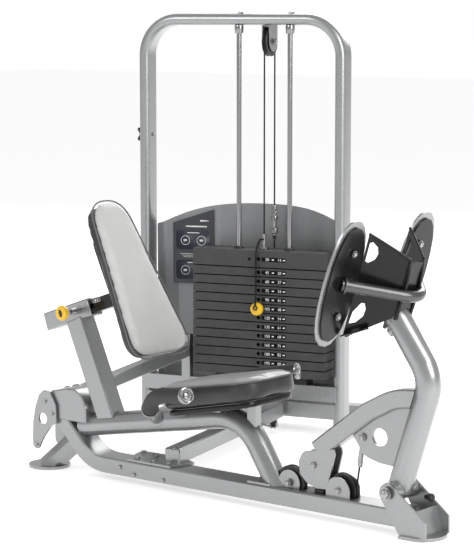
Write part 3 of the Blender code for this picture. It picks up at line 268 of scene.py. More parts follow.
def add(name, mesh, looks, body=None, place=Matrix.Identity(4), smooth=True):
    mesh.transform(place)
    thing = bpy.data.objects.new(name, mesh)
    bpy.context.scene.collection.objects.link(thing)
    for look in looks if isinstance(looks, (list, tuple)) else [looks]:
        mesh.materials.append(look)
    mesh.polygons.foreach_set("use_smooth", [smooth] * len(mesh.polygons))
    if body:
        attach(thing, body)
    return thing


def from_points(name, points, faces):
    mesh = bpy.data.meshes.new(name)
    mesh.from_pydata([tuple(p) for p in points], [], faces)
    mesh.update()
    return mesh


def facing(axis, place=(0, 0, 0)):
    """Matrix that turns +Z to axis and moves to place."""
    turn = Vector((0, 0, 1)).rotation_difference(Vector(axis).normalized()).to_matrix().to_4x4()
    return Matrix.Translation(place) @ turn


def facing_out(mesh):
    """The mesh with all its faces turned outwards."""
    work = bmesh.new()
    work.from_mesh(mesh)
    bmesh.ops.recalc_face_normals(work, faces=work.faces)
    work.to_mesh(mesh)
    work.free()
    return mesh


def lathe_mesh(name, profile, steps=32):
    """Closed solid of revolution about Z; profile runs from axis to axis as (radius, height)."""
    points = []
    rows = []
    for radius, height in profile:
        if radius < 1e-6:
            rows.append([len(points)])
            points.append((0, 0, height))
            continue
        rows.append(list(range(len(points), len(points) + steps)))
        points += [(radius * cos(2 * pi * k / steps), radius * sin(2 * pi * k / steps), height)
                   for k in range(steps)]
    faces = []
    for low, high in zip(rows, rows[1:]):
        for k in range(steps):
            j = (k + 1) % steps
            if len(low) == 1 and len(high) == 1:
                continue
            if len(low) == 1:
                faces.append((low[0], high[j], high[k]))
            elif len(high) == 1:
                faces.append((low[k], low[j], high[0]))
            else:
                faces.append((low[k], low[j], high[j], high[k]))
    return facing_out(from_points(name, points, faces))


def lathe(name, profile, look, body, place, steps=32):
    thing = add(name, lathe_mesh(name, profile, steps), look, body, place)
    sharpen(thing)
    return thing


def sharpen(thing, angle=35):
    """Keeps edges sharper than the angle crisp while the rest shades smoothly."""
    work = bmesh.new()
    work.from_mesh(thing.data)
    for edge in work.edges:
        if len(edge.link_faces) == 2 and edge.calc_face_angle() > radians(angle):
            edge.smooth = False
    work.to_mesh(thing.data)
    work.free()


def smooth_path(points, radius, steps=8):
    """Path with every inner corner rounded by a curve that starts radius away from it."""
    points = [Vector(p) for p in points]
    out = [points[0]]
    for before, corner, after in zip(points, points[1:], points[2:]):
        reach = min(radius, (corner - before).length * 0.49, (after - corner).length * 0.49)
        start = corner + (before - corner).normalized() * reach
        end = corner + (after - corner).normalized() * reach
        for k in range(steps + 1):
            t = k / steps
            out.append(start.lerp(corner, t).lerp(corner.lerp(end, t), t))
    out.append(points[-1])
    return out


def sweep_mesh(name, points, radius, sides=16, closed=False):
    """Round tube along points, with flat caps unless closed; radius is a number or one per point."""
    points = [Vector(p) for p in points]
    count = len(points)
    radii = radius if isinstance(radius, (list, tuple)) else [radius] * count
    rings = []
    verts = []
    side = None
    for k, point in enumerate(points):
        before = points[k - 1] if k or closed else point
        after = points[(k + 1) % count] if k < count - 1 or closed else point
        along = (after - before).normalized()
        if side is None:
            side = along.orthogonal().normalized()
        side = (side - along * side.dot(along)).normalized()
        up = along.cross(side)
        rings.append(list(range(len(verts), len(verts) + sides)))
        for j in range(sides):
            angle = 2 * pi * j / sides
            verts.append(point + (side * cos(angle) + up * sin(angle)) * radii[k])
    faces = []
    pairs = list(zip(rings, rings[1:])) + ([(rings[-1], rings[0])] if closed else [])
    for low, high in pairs:
        faces += [(low[j], low[(j + 1) % sides], high[(j + 1) % sides], high[j]) for j in range(sides)]
    if not closed:
        faces += [tuple(reversed(rings[0])), tuple(rings[-1])]
    return from_points(name, verts, faces)


def sweep(name, points, radius, look, body=None, place=Matrix.Identity(4), sides=16, closed=False):
    thing = add(name, sweep_mesh(name, points, radius, sides, closed), look, None, place)
    sharpen(thing, 50)
    if body:
        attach(thing, body)
    return thing


def rounded_outline(half_x, half_low, half_high, corner, steps=6):
    """Flat outline, half_low wide at -X and half_high wide at +X, with round corners."""
    corners = [(half_x, half_high), (-half_x, half_low), (-half_x, -half_low), (half_x, -half_high)]
    points = []
    for k, spot in enumerate(corners):
        here = Vector(spot)
        before = (Vector(corners[k - 1]) - here).normalized()
        after = (Vector(corners[(k + 1) % 4]) - here).normalized()
        for j in range(steps + 1):
            t = j / steps
            start = here + before * corner
            end = here + after * corner
            points.append(start.lerp(here, t).lerp(here.lerp(end, t), t))
    return points


def prism_mesh(name, outline, thick, bevel=0.0, segments=2):
    work = bmesh.new()
    low = [work.verts.new((p[0], p[1], -thick / 2)) for p in outline]
    high = [work.verts.new((p[0], p[1], thick / 2)) for p in outline]
    count = len(outline)
    work.faces.new(list(reversed(low)))
    work.faces.new(high)
    for k in range(count):
        j = (k + 1) % count
        work.faces.new((low[k], low[j], high[j], high[k]))
    bmesh.ops.recalc_face_normals(work, faces=work.faces)
    if bevel:
        rims = [e for e in work.edges if abs(e.verts[0].co.z - e.verts[1].co.z) < 1e-6]
        bmesh.ops.bevel(work, geom=rims, offset=bevel, segments=segments, profile=0.5, affect="EDGES")
    mesh = bpy.data.meshes.new(name)
    work.to_mesh(mesh)
    work.free()
    return mesh


def prism(name, outline, thick, look, body, place, bevel=0.0, segments=2):
    thing = add(name, prism_mesh(name, outline, thick, bevel, segments), look, body, place)
    sharpen(thing)
    return thing


def join(things, name):
    """Merges pieces into the first one, keeping their materials."""
    bpy.ops.object.select_all(action="DESELECT")
    for thing in things:
        thing.select_set(True)
    bpy.context.view_layer.objects.active = things[0]
    bpy.ops.object.join()
    things[0].name = name
    return things[0]


def applied(thing):
    """The piece with all its modifiers turned into plain mesh."""
    graph = bpy.context.evaluated_depsgraph_get()
    mesh = bpy.data.meshes.new_from_object(thing.evaluated_get(graph))
    thing.modifiers.clear()
    thing.data = mesh
    return thing


# ---------------------------------------------------------------- pads

def pad_outline(size, scale_in=0.0, steps=8):
    length, half_low, half_high, corner = size
    return rounded_outline(length / 2 - scale_in, half_low - scale_in, half_high - scale_in, corner, steps)


def inflate(thing, limit, floor_z):
    """Cloth simulation that swells the pad; no point moves further than limit or below floor_z."""
    rest = [v.co.copy() for v in thing.data.vertices]
    cloth = thing.modifiers.new("swell", "CLOTH")
    cloth.settings.quality = 4
    cloth.settings.use_pressure = True
    cloth.settings.uniform_pressure_force = CLOTH_PRESSURE
    cloth.settings.effector_weights.gravity = 0.0
    cloth.collision_settings.use_collision = False
    cloth.point_cache.frame_start = 1
    cloth.point_cache.frame_end = CLOTH_FRAMES
    for number in range(1, CLOTH_FRAMES + 1):
        bpy.context.scene.frame_set(number)
    applied(thing)
    for vertex, start in zip(thing.data.vertices, rest):
        move = vertex.co - start
        if move.length > limit:
            move *= limit / move.length
        spot = start + move
        spot.z = max(spot.z, floor_z)
        vertex.co = spot
    bpy.context.scene.frame_set(1)


def padded_pad(name, size, thick, crown, place, top_look, body, cad_node, taper=0.0, seam_depth=0.011):
    """A stuffed pad: swollen cover, darker boxing round the side, and piping at the seam."""
    length = size[0]
    mesh = prism_mesh(name, pad_outline(size, 0.006), thick - 0.008, 0.006, 2)
    for vertex in mesh.vertices:
        if vertex.co.z > 0:
            share = vertex.co.x / length + 0.5
            vertex.co.z -= taper * share * share
    thing = add(name, mesh, [top_look, SIDE_VINYL])
    remesh = thing.modifiers.new("even_faces", "REMESH")
    remesh.mode = "VOXEL"
    remesh.voxel_size = PAD_MESH_SIZE
    applied(thing)
    inflate(thing, 0.006, -thick / 2)
    shaped_cover(thing, size, thick, crown)
    even = thing.modifiers.new("even_curve", "SMOOTH")
    even.factor = 0.5
    even.iterations = 6
    finer = thing.modifiers.new("finer", "SUBSURF")
    finer.levels = 1
    applied(thing)
    top_level = thick / 2 - seam_depth
    for polygon in thing.data.polygons:
        polygon.use_smooth = True
        share = polygon.center.x / length + 0.5
        edge_level = top_level - taper * share * share
        polygon.material_index = 0 if polygon.center.z > edge_level else 1
    thing.data.transform(place)
    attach(thing, body)
    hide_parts(cad_node)
    seam = []
    for point in pad_outline(size, 0.0015, 14):
        share = point[0] / length + 0.5
        seam.append((point[0], point[1], top_level - taper * share * share + 0.0005))
    sweep(name + "_piping", seam, 0.0021, PIPING, body, place, sides=8, closed=True)
    return thing


def shaped_cover(thing, size, thick, crown):
    """Raises the middle of the top into a soft crown and keeps the cover inside its outline."""
    length, half_low, half_high, _corner = size
    for vertex in thing.data.vertices:
        x, y, z = vertex.co
        half = half_low + (half_high - half_low) * (x / length + 0.5)
        if z > 0:
            across = max(0.0, 1 - (abs(y) / half) ** 2.4)
            along = max(0.0, 1 - (2 * abs(x) / length) ** 3)
            vertex.co.z += crown * (across * along) ** 0.8 - 0.002
        if abs(y) > half:
            vertex.co.y = half if y > 0 else -half
        if abs(x) > length / 2:
            vertex.co.x = length / 2 if x > 0 else -length / 2


def seat_and_back():
    place = MACHINE @ Matrix.Translation(SEAT_TOP) @ Matrix.Rotation(-SEAT_TILT, 4, "Y")
    place = place @ Matrix.Translation((0, 0, -SEAT_SIZE[3] / 2))
    padded_pad("seat_cushion", (*SEAT_SIZE[:3], 0.084), SEAT_SIZE[3], 0.006, place, SEAT_TOPCOAT, "frame",
               "seat_pad", taper=0.010, seam_depth=0.008)
    pan = MACHINE @ Matrix.Translation(SEAT_TOP) @ Matrix.Rotation(-SEAT_TILT, 4, "Y")
    pan = pan @ Matrix.Translation((0, 0, -SEAT_SIZE[3] - 0.0088))
    prism("seat_pan", rounded_outline(0.148, 0.108, 0.108, 0.058), 0.0150, DARK, "frame", pan, 0.003)
    turn = Matrix.Rotation(pi / 2 - BACK_TILT, 4, "Y")
    place = MACHINE @ Matrix.Translation(BACK_FACE) @ turn
    place = place @ Matrix.Translation((0, 0, -BACK_SIZE[3] / 2))
    padded_pad("back_cushion", (*BACK_SIZE[:3], 0.066), BACK_SIZE[3], 0.007, place, BACK_TOPCOAT, "backrest",
               "back_pad")


# ---------------------------------------------------------------- hardware

def bolt(name, place, axis, radius, body, parent=MACHINE, look=None, domed=True):
    """Washer and chamfered hex head, standing on place along axis."""
    frame_here = parent @ facing(axis, place)
    washer = lathe_mesh(name + "_washer", [(0, 0), (radius * 1.25, 0), (radius * 1.25, radius * 0.14),
                                           (0, radius * 0.14)], 20)
    first = add(name, washer, look or ZINC, None, frame_here)
    hexagon = [(radius * cos(pi * k / 3), radius * sin(pi * k / 3)) for k in range(6)]
    head = prism_mesh(name + "_head", hexagon, radius * 0.62, radius * 0.10)
    lift = Matrix.Translation((0, 0, radius * 0.42))
    parts = [first, add(name + "_hex", head, look or ZINC, None, frame_here @ lift)]
    if domed:
        dome = lathe_mesh(name + "_dome", [(0, 0), (radius * 0.62, 0), (radius * 0.5, radius * 0.13),
                                           (radius * 0.2, radius * 0.2), (0, radius * 0.21)], 16)
        parts.append(add(name + "_cap", dome, look or ZINC, None, frame_here
                         @ Matrix.Translation((0, 0, radius * 0.72))))
    whole = join(parts, name)
    sharpen(whole)
    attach(whole, body)
    return whole


def frame_bolts():
    spots = [("rail_bolt_rear", (-0.2859, -0.038, 0.0449)), ("rail_bolt_middle", (-0.2347, -0.038, 0.030)),
             ("rail_bolt_front", (-0.1301, -0.038, 0.030))]
    for name, spot in spots:
        bolt(name, spot, (0, -1, 0), 0.0062, "frame")
    bolt("rail_pulley_bolt", (RAIL_PULLEY[0], -0.0245, 0.083), (0, -1, 0), 0.0085, "frame")
    bolt("foot_pulley_bolt", (FOOT_PULLEY[0], -0.0220, FOOT_PULLEY[1]), (0, -1, 0), 0.0080, "frame")
    bolt("lever_pulley_bolt", (LEVER_PULLEY[0], -0.0195, LEVER_PULLEY[1] + 0.010), (0, -1, 0), 0.0085,
         "press_arm")
    bolt("lever_pulley_bolt_far", (LEVER_PULLEY[0], 0.0195, LEVER_PULLEY[1] + 0.010), (0, 1, 0), 0.0085,
         "press_arm")
    bolt("gusset_bolt", (0.504, -0.0095, 0.226), (0, -1, 0), 0.0085, "press_arm")
    for side, depth, hand in ((-1, "near", "left"), (1, "far", "right")):
        bolt("pivot_bolt_" + depth, (PIVOT[0], side * 0.0625, PIVOT[1]), (0, side, 0), 0.0135, "frame")
        for z, level in ((-0.082, "low"), (0.082, "high")):
            name = "plate_bolt_%s_%s" % (depth, level)
            bolt(name, (0.0130, side * 0.142, z), (1, 0, 0), 0.0078, "press_arm", FOOT)
        top = (STACK_U + side * ROD_SPACING / 2, STACK_N + 0.010, TOWER_HEIGHT - FACE_GAP)
        bolt("hoop_bolt_" + hand, top, (0, 0, 1), 0.0095, "frame", TOWER)
        axle = (STACK_U + side * 0.0175, STACK_N + RUN_R, TOP_PULLEY_Z)
        bolt("top_pulley_bolt_" + hand, axle, (side, 0, 0), 0.0085, "frame", TOWER)
    stop = [(0, -0.004), (0.0060, -0.004), (0.0060, 0.010), (0.0100, 0.011), (0.0104, 0.018),
            (0.0085, 0.021), (0, 0.0215)]
    lathe("arm_stop", stop, RUBBER, "frame", MACHINE @ facing((0.82, -0.20, 0.10), (0.6620, 0.0500, 0.0860)),
          20)
    bolt("post_bolt", (-0.4148, -0.0325, 0.196), (0, -1, 0), 0.0065, "frame")


def tower_knob():
    """Wing bolt through the left upright."""
    place = (-HOOP_U - HOOP_HALF, -0.012, 0.909)
    base = [(0, 0), (0.0085, 0), (0.0085, 0.006), (0.0060, 0.008), (0.0060, 0.014), (0, 0.014)]
    lathe("wing_bolt_hub", base, ZINC, "frame", TOWER @ facing((-1, 0, 0), place), 20)
    for side in (-1, 1):
        wing = [(0, 0), (0.0045, 0.001), (0.0060, 0.006), (0.0055, 0.013), (0.003, 0.015), (0, 0.015)]
        spot = (place[0] - 0.010, place[1], place[2] + side * 0.006)
        lathe("wing_bolt_wing_%s" % ("low" if side < 0 else "high"), wing, DARK, "frame", TOWER
              @ facing((-0.5, 0, side), spot), 14)
    lathe("wing_bolt_tip", [(0, 0), (0.0055, 0), (0.0055, 0.006), (0.004, 0.008), (0, 0.008)], ZINC, "frame",
          TOWER @ facing((1, 0, 0), (-HOOP_U + HOOP_HALF, -0.012, 0.909)), 16)


# ---------------------------------------------------------------- pulleys, rods and cables

def wheel(cad_node, body, place, axis, parent=MACHINE):
    """Grooved nylon wheel with a dished web, hub and steel bearing."""
    side = [(0, 0.0070), (0.0100, 0.0070), (0.0108, 0.0060), (0.0150, 0.0045), (0.0330, 0.0045),
            (0.0345, WHEEL_HALF), (WHEEL_R - 0.0008, WHEEL_HALF), (WHEEL_R, WHEEL_HALF - 0.0010),
            (WHEEL_R, 0.0052), (GROOVE_R + 0.001, 0.0022)]
    profile = [(r, -z) for r, z in side] + [(GROOVE_R, 0)] + side[::-1]
    made = lathe(cad_node + "_wheel", profile, NYLON, None, parent @ facing(axis, place), 48)
    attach(made, body)
    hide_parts(cad_node)
    hub = [(0, -0.0076), (0.0085, -0.0076), (0.0085, 0.0076), (0, 0.0076)]
    lathe(cad_node + "_bearing", hub, STEEL, body, parent @ facing(axis, place), 24)
    return made


def turned_cable():
    """Lower pulley and guide pulley: centre, axle, and where the cable meets and leaves each."""
    to_machine = MACHINE.inverted() @ TOWER
    drop = to_machine @ Vector((STACK_U, STACK_N + 2 * RUN_R, 0.056))
    entry = Vector((0.155, 0, 0.195))
    level = Vector((entry.x - drop.x, entry.y - drop.y, 0)).normalized()
    lower = drop + level * RUN_R
    run = (entry - (lower - Vector((0, 0, RUN_R)))).normalized()
    down = Vector((0, 0, -1))
    leave = lower - run.cross(level.cross(down)).normalized() * RUN_R
    along = Vector((0.2495 - 0.123, 0, 0.0654 - 0.2335)).normalized()
    inward = (along * run.dot(along) - run).normalized()
    guide = entry + inward * RUN_R
    meet = guide - (along - run * run.dot(along)).normalized() * RUN_R
    return {"drop": drop, "lower": lower, "lower_axis": level.cross(down).normalized(), "leave": leave,
            "meet": meet, "guide": guide, "guide_axis": run.cross(along).normalized(), "entry": entry,
            "along": along}


def wrap(centre, start, end, axis, steps=14):
    """Cable points round a wheel from start to end."""
    first = Vector(start) - Vector(centre)
    last = Vector(end) - Vector(centre)
    turn = first.angle(last)
    sign = 1 if first.cross(last).dot(axis) > 0 else -1
    return [Vector(centre) + Matrix.Rotation(sign * turn * k / steps, 3, axis) @ first
            for k in range(steps + 1)]


def straight(start, end, steps=24):
    start = Vector(start)
    end = Vector(end)
    return [start.lerp(end, k / steps) for k in range(steps + 1)]


def cable(name, points, parent, cad_node=None, body=None):
    made = sweep(name, points, CABLE_R, CABLE, None, parent, sides=10)
    if body:
        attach(made, body)
    else:
        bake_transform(made)
    if cad_node:
        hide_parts(cad_node)
    return made


def upright_wheel_arc(centre, start, end, steps=14):
    angles = [radians(start + (end - start) * k / steps) for k in range(steps + 1)]
    return [Vector((centre[0] + RUN_R * cos(a), 0, centre[1] + RUN_R * sin(a))) for a in angles]


def crossing_angle(first, second, side):
    """Angle at which the cable leaves the first wheel to cross to the other side of the second."""
    away = Vector(second) - Vector(first)
    return degrees(atan2(away.y, away.x) + side * acos(2 * RUN_R / away.length))


def tower_cables(turns):
    top_n = STACK_N + RUN_R
    low = Vector((STACK_U, STACK_N, STACK_TOP + 0.0464))
    high = Vector((STACK_U, STACK_N, TOP_PULLEY_Z))
    cable("cable_stack_leg", straight(low, high), TOWER, "cable_front", None)
    over = [Vector((STACK_U, top_n - RUN_R * cos(pi * k / 18), TOP_PULLEY_Z + RUN_R * sin(pi * k / 18)))
            for k in range(19)]
    cable("cable_top_turn", over, TOWER, body="frame")
    start = Vector((STACK_U, top_n + RUN_R, TOP_PULLEY_Z))
    end = Vector((STACK_U, top_n + RUN_R, BUCKLE_Z + BUCKLE_HALF + FACE_GAP))
    cable("cable_long_leg", straight(start, end), TOWER, None, None)
    high = turns["drop"].copy()
    high.z = BUCKLE_Z - BUCKLE_HALF - FACE_GAP
    cable("cable_low_leg", straight(turns["drop"], high), MACHINE, "cable_rear", None)
    route = wrap(turns["lower"], turns["drop"], turns["leave"], turns["lower_axis"])
    route += wrap(turns["guide"], turns["meet"], turns["entry"], turns["guide_axis"])
    route.append(turns["entry"] + turns["along"] * 0.008)
    cable("cable_floor_run", route, MACHINE, body="frame")


def arm_cables():
    rise = crossing_angle(FOOT_PULLEY, LEVER_PULLEY, -1)
    fall = crossing_angle(LEVER_PULLEY, RAIL_PULLEY, 1)
    offset = Vector(ANCHOR) - Vector(RAIL_PULLEY)
    reach = (offset.length ** 2 - RUN_R ** 2) ** 0.5
    last = degrees(atan2(offset.y, offset.x) - atan2(reach, RUN_R))
    foot = upright_wheel_arc(FOOT_PULLEY, 170, 360 + rise)
    lever = upright_wheel_arc(LEVER_PULLEY, 180 + rise, fall)
    rail = upright_wheel_arc(RAIL_PULLEY, 180 + fall, 360 + last)
    tip = Vector((ANCHOR[0], 0, ANCHOR[1]))
    tip = tip + (rail[-1] - tip).normalized() * 0.0284
    cable("cable_foot_turn", foot, MACHINE, "cable_arm", "frame")
    cable("cable_lever_turn", lever, MACHINE, body="press_arm")
    cable("cable_rail_turn", rail, MACHINE, body="frame")
    for name, a, b, ends in (("cable_rise", foot[-1], lever[0], ("frame", "press_arm")),
                             ("cable_fall", rail[0], lever[-1], ("frame", "press_arm")),
                             ("cable_anchor_leg", rail[-1], tip, ("frame", "press_arm"))):
        cable(name, straight(a, b, 14), MACHINE, None, None)
    nut = [(0, 0), (0.0055, 0), (0.0062, 0.001), (0.0062, 0.012), (0.0045, 0.014), (0.0045, 0.018),
           (0, 0.018)]
    lathe("anchor_ferrule", nut, CHROME, "press_arm", MACHINE
          @ facing(tip - rail[-1], tip - Vector((0, 0, 0.010))), 20)


def rods_and_fittings():
    low = 0.1674
    high = TOWER_HEIGHT - 2 * HOOP_HALF - FACE_GAP
    for name, side in (("guide_rod_left", -1), ("guide_rod_right", 1)):
        u = STACK_U + side * ROD_SPACING / 2
        shaft = [(0, low), (0.0075, low), (0.0075, high - 0.026), (0.0110, high - 0.0255),
                 (0.0132, high - 0.022), (0.0138, high - 0.004), (0.0125, high), (0, high)]
        made = lathe(name + "_shaft", shaft, CHROME, "frame", TOWER @ Matrix.Translation((u, STACK_N, 0)),
                     32)
        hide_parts(name)
        bush = [(0.0088, 0), (0.0155, 0), (0.0150, 0.005), (0.0120, 0.0065), (0.0088, 0.0065), (0.0088, 0)]
        lathe(name + "_bushing", bush, NYLON, "carriage", TOWER
              @ Matrix.Translation((u, STACK_N, STACK_TOP)), 28)
    half = BUCKLE_HALF
    buckle = [(0, half), (0.0058, half), (0.0064, half - 0.002), (0.0064, 0.034), (0.0088, 0.033),
              (0.0092, 0.028), (0.0056, 0.027), (0.0056, 0.022), (0.0104, 0.021), (0.0110, 0.018),
              (0.0110, 0.010), (0.0072, 0.008), (0.0072, -0.016), (0.0108, -0.018), (0.0114, -0.021),
              (0.0114, -0.031), (0.0062, -0.035), (0.0062, -0.046), (0.0050, -0.048), (0.0050, -half),
              (0, -half)]
    made = lathe("turnbuckle_body", buckle, CHROME, "turnbuckle", TOWER
                 @ Matrix.Translation((STACK_U, STACK_N + 2 * RUN_R, BUCKLE_Z)), 24)
    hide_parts("turnbuckle")


# ---------------------------------------------------------------- weight stack

def writing(name, text, height):
    """Flat number as a thin mesh, centred on its place."""
    curve = bpy.data.curves.new(name, "FONT")
    curve.body = text
    curve.size = height
    curve.align_x = "CENTER"
    curve.align_y = "CENTER"
    curve.extrude = 0.00012
    curve.resolution_u = 3
    holder = bpy.data.objects.new(name + "_text", curve)
    bpy.context.scene.collection.objects.link(holder)
    bpy.context.view_layer.update()
    mesh = bpy.data.meshes.new_from_object(holder)
    bpy.data.objects.remove(holder, do_unlink=True)
    mesh.name = name
    return mesh


def stack_labels():
    """Dark round-ended label on each plate, with its load in pounds and in kilograms."""
    for number in range(PLATE_COUNT + 1):
        pounds = FIRST_POUNDS + POUNDS_STEP * number
        body = "carriage" if number <= PICKED_PLATES else "frame"
        if number == 0:
            z = STACK_BASE + PLATE_COUNT * PLATE_PITCH + 0.024
        else:
            z = STACK_BASE + (PLATE_COUNT - number + 0.5) * PLATE_PITCH - PLATE_GAP / 2
        centre = Vector((STACK_U + 0.0505, STACK_FRONT - 0.0004, z))
        face = TOWER @ Matrix.Translation(centre) @ Matrix.Rotation(pi / 2, 4, "X")
        pill = rounded_outline(0.0400, 0.0064, 0.0064, 0.0063, 6)
        parts = [add("plate_label_%03d" % pounds, prism_mesh("pill", pill, 0.0008, 0.0002, 1), LABEL_AND_HOLE_SHADE, None,
                     face)]
        face = face @ Matrix.Translation((0, 0, 0.00045))
        for offset, text, size in ((-0.021, str(pounds), 0.0128),
                                   (0.019, str(round(pounds * KG_PER_POUND)), 0.0120)):
            mesh = writing("load", text, size)
            parts.append(add("load", mesh, PRINT, None, face @ Matrix.Translation((offset, -0.0002, 0)),
                             smooth=False))
        for offset in (-0.0025, 0.0335):
            bar = rounded_outline(0.0036, 0.0018, 0.0018, 0.0008, 2)
            parts.append(add("bar", prism_mesh("bar", bar, 0.0003), PRINT, None, face
                             @ Matrix.Translation((offset, 0, 0))))
        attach(join(parts, "plate_label_%03d" % pounds), body)
    # The top plate's two holes are flat near-black discs, not cut: painted shade standing in for the dark
    # inside of each hole
    for k, offset in enumerate((-0.030, 0.024)):
        hole = [(0, 0), (0.0048, 0), (0.0040, -0.0006), (0, -0.0008)]
        lathe("top_plate_hole_shade_%d" % k, hole, LABEL_AND_HOLE_SHADE, "carriage", TOWER
              @ facing((0, -1, 0), (STACK_U + offset, STACK_FRONT - 0.0006, 0.545)), 18)


def pin_height():
    return STACK_BASE + (PLATE_COUNT - PICKED_PLATES + 0.5) * PLATE_PITCH - PLATE_GAP / 2


def selector():
    """Yellow selector pin with its eye for the lanyard, in the fifth plate's hole."""
    z = pin_height()
    way = facing((0, -1, 0), (STACK_U, STACK_FRONT, z))
    knob = [(0, 0.0010), (0.0150, 0.0010), (0.0185, 0.0030), (0.0200, 0.0070), (0.0196, 0.0160),
            (0.0175, 0.0195), (0.0120, 0.0215), (0, 0.0220)]
    made = lathe("selector_knob", knob, YELLOW, "selector_pin", TOWER @ way, 40)
    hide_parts("selector_pin")
    shaft = [(0, -0.060), (0.0030, -0.059), (0.0045, -0.055), (0.0045, 0.002), (0, 0.002)]
    lathe("selector_shaft", shaft, CHROME, "selector_pin", TOWER @ way, 20)
    loop = [(0.0060 * sin(2 * pi * k / 20), STACK_FRONT - 0.0225 - 0.0012, z + 0.0045
             + 0.0060 * cos(2 * pi * k / 20)) for k in range(20)]
    loop = [(STACK_U + p[0], p[1], p[2]) for p in loop]
    sweep("selector_eye", loop, 0.0020, RUBBER, "selector_pin", TOWER, sides=8, closed=True)


def lanyard():
    z = pin_height()
    front = STACK_FRONT
    path = [(STACK_U, STACK_N - 0.0098, STACK_TOP + 0.030),
            (STACK_U - 0.002, STACK_N - 0.026, STACK_TOP + 0.034),
            (STACK_U - 0.004, front - 0.009, STACK_TOP + 0.004),
            (STACK_U - 0.004, front - 0.012, STACK_TOP - 0.080), (STACK_U - 0.002, front - 0.014, z + 0.060),
            (STACK_U, front - 0.0245, z + 0.0100)]
    smooth = smooth_path(path, 0.020, 6)
    made = sweep("pin_lanyard", smooth, 0.0030, CABLE, "carriage", TOWER, sides=10)
    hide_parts("lanyard")


def pull_pin_knob():
    """Yellow pull-pin knob beside the slide sleeve, with its steel shaft."""
    way = SLEEVE @ Matrix.Translation((PIN_ALONG, 0, 0)) @ facing((0, -1, 0))
    knob = [(0, 0.0780), (0.0085, 0.0780), (0.0095, 0.0800), (0.0130, 0.0830), (0.0195, 0.0860),
            (0.0205, 0.0890), (0.0205, 0.0960), (0.0190, 0.0995), (0.0140, 0.1010), (0.0080, 0.1005),
            (0.0080, 0.0990), (0, 0.0990)]
    made = lathe("pull_pin_knob", knob, YELLOW, "pull_pin", way, 40)
    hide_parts("pull_pin")
    slot_outline = rounded_outline(0.0034, 0.0105, 0.0105, 0.0026, 4)
    prism("pull_pin_insert", slot_outline, 0.0030, RUBBER, "pull_pin", way
          @ Matrix.Translation((0, 0, 0.1000)))
    shaft = [(0, 0.0190), (0.0048, 0.0190), (0.0048, 0.0790), (0, 0.0790)]
    lathe("pull_pin_shaft", shaft, CHROME, "pull_pin", way, 20)


def slide_scale():
    """Bright scale with dark marks on the near side of the slide bar."""
    face = SLEEVE @ Matrix.Translation((0.1130, -0.0191, 0.0115)) @ Matrix.Rotation(pi / 2, 4, "X")
    parts = [add("slide_scale", prism_mesh("strip", rounded_outline(0.0200, 0.0056, 0.0056, 0.001, 2),
                                           0.0004), STEEL, None, face)]
    for k in range(4):
        half = 0.0042 - 0.0012 * (k % 2)
        mark = rounded_outline(0.0012, half, half, 0.0006, 2)
        parts.append(add("mark", prism_mesh("mark", mark, 0.0004), LABEL_AND_HOLE_SHADE, None, face
                         @ Matrix.Translation((-0.0135 + 0.009 * k, 0, 0.0002))))
    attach(join(parts, "slide_scale"), "backrest")


# ---------------------------------------------------------------- tower shroud and placard

def hoop_skin():
    """Smooth painted skin over the tower's bent hoop, 1 mm proud of it."""
    top = TOWER_HEIGHT - HOOP_HALF
    path = [(-HOOP_U, 0.0285, -1, 0)]
    for side, first, last in ((-1, 180, 90), (1, 90, 0)):
        for k in range(25):
            angle = radians(first + (last - first) * k / 24)
            away = (cos(angle), sin(angle))
            path.append((side * (HOOP_U - HOOP_BEND) + HOOP_BEND * away[0], top - HOOP_BEND
                         + HOOP_BEND * away[1], *away))
    path.append((HOOP_U, 0.0285, 1, 0))
    section = []
    for across, deep, start in ((0.0002, 0.0192, 0), (-0.0002, 0.0192, 90), (-0.0002, -0.0192, 180),
                                (0.0002, -0.0192, 270)):
        for k in range(9):
            angle = radians(start + 90 * k / 8)
            section.append((across + 0.0168 * cos(angle), deep + 0.0168 * sin(angle)))
    count = len(section)
    points = [(x + away_x * a, d - 0.012, z + away_z * a) for x, z, away_x, away_z in path for a,
              d in section]
    faces = [(r * count + j, r * count + (j + 1) % count, (r + 1) * count + (j + 1) % count, (r + 1) * count
              + j) for r in range(len(path) - 1) for j in range(count)]
    faces += [tuple(reversed(range(count))), tuple(range((len(path) - 1) * count, len(path) * count))]
    skin = add("hoop_skin", from_points("hoop_skin", points, faces), PAINT, None, TOWER)
    sharpen(skin, 50)
    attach(skin, "frame")


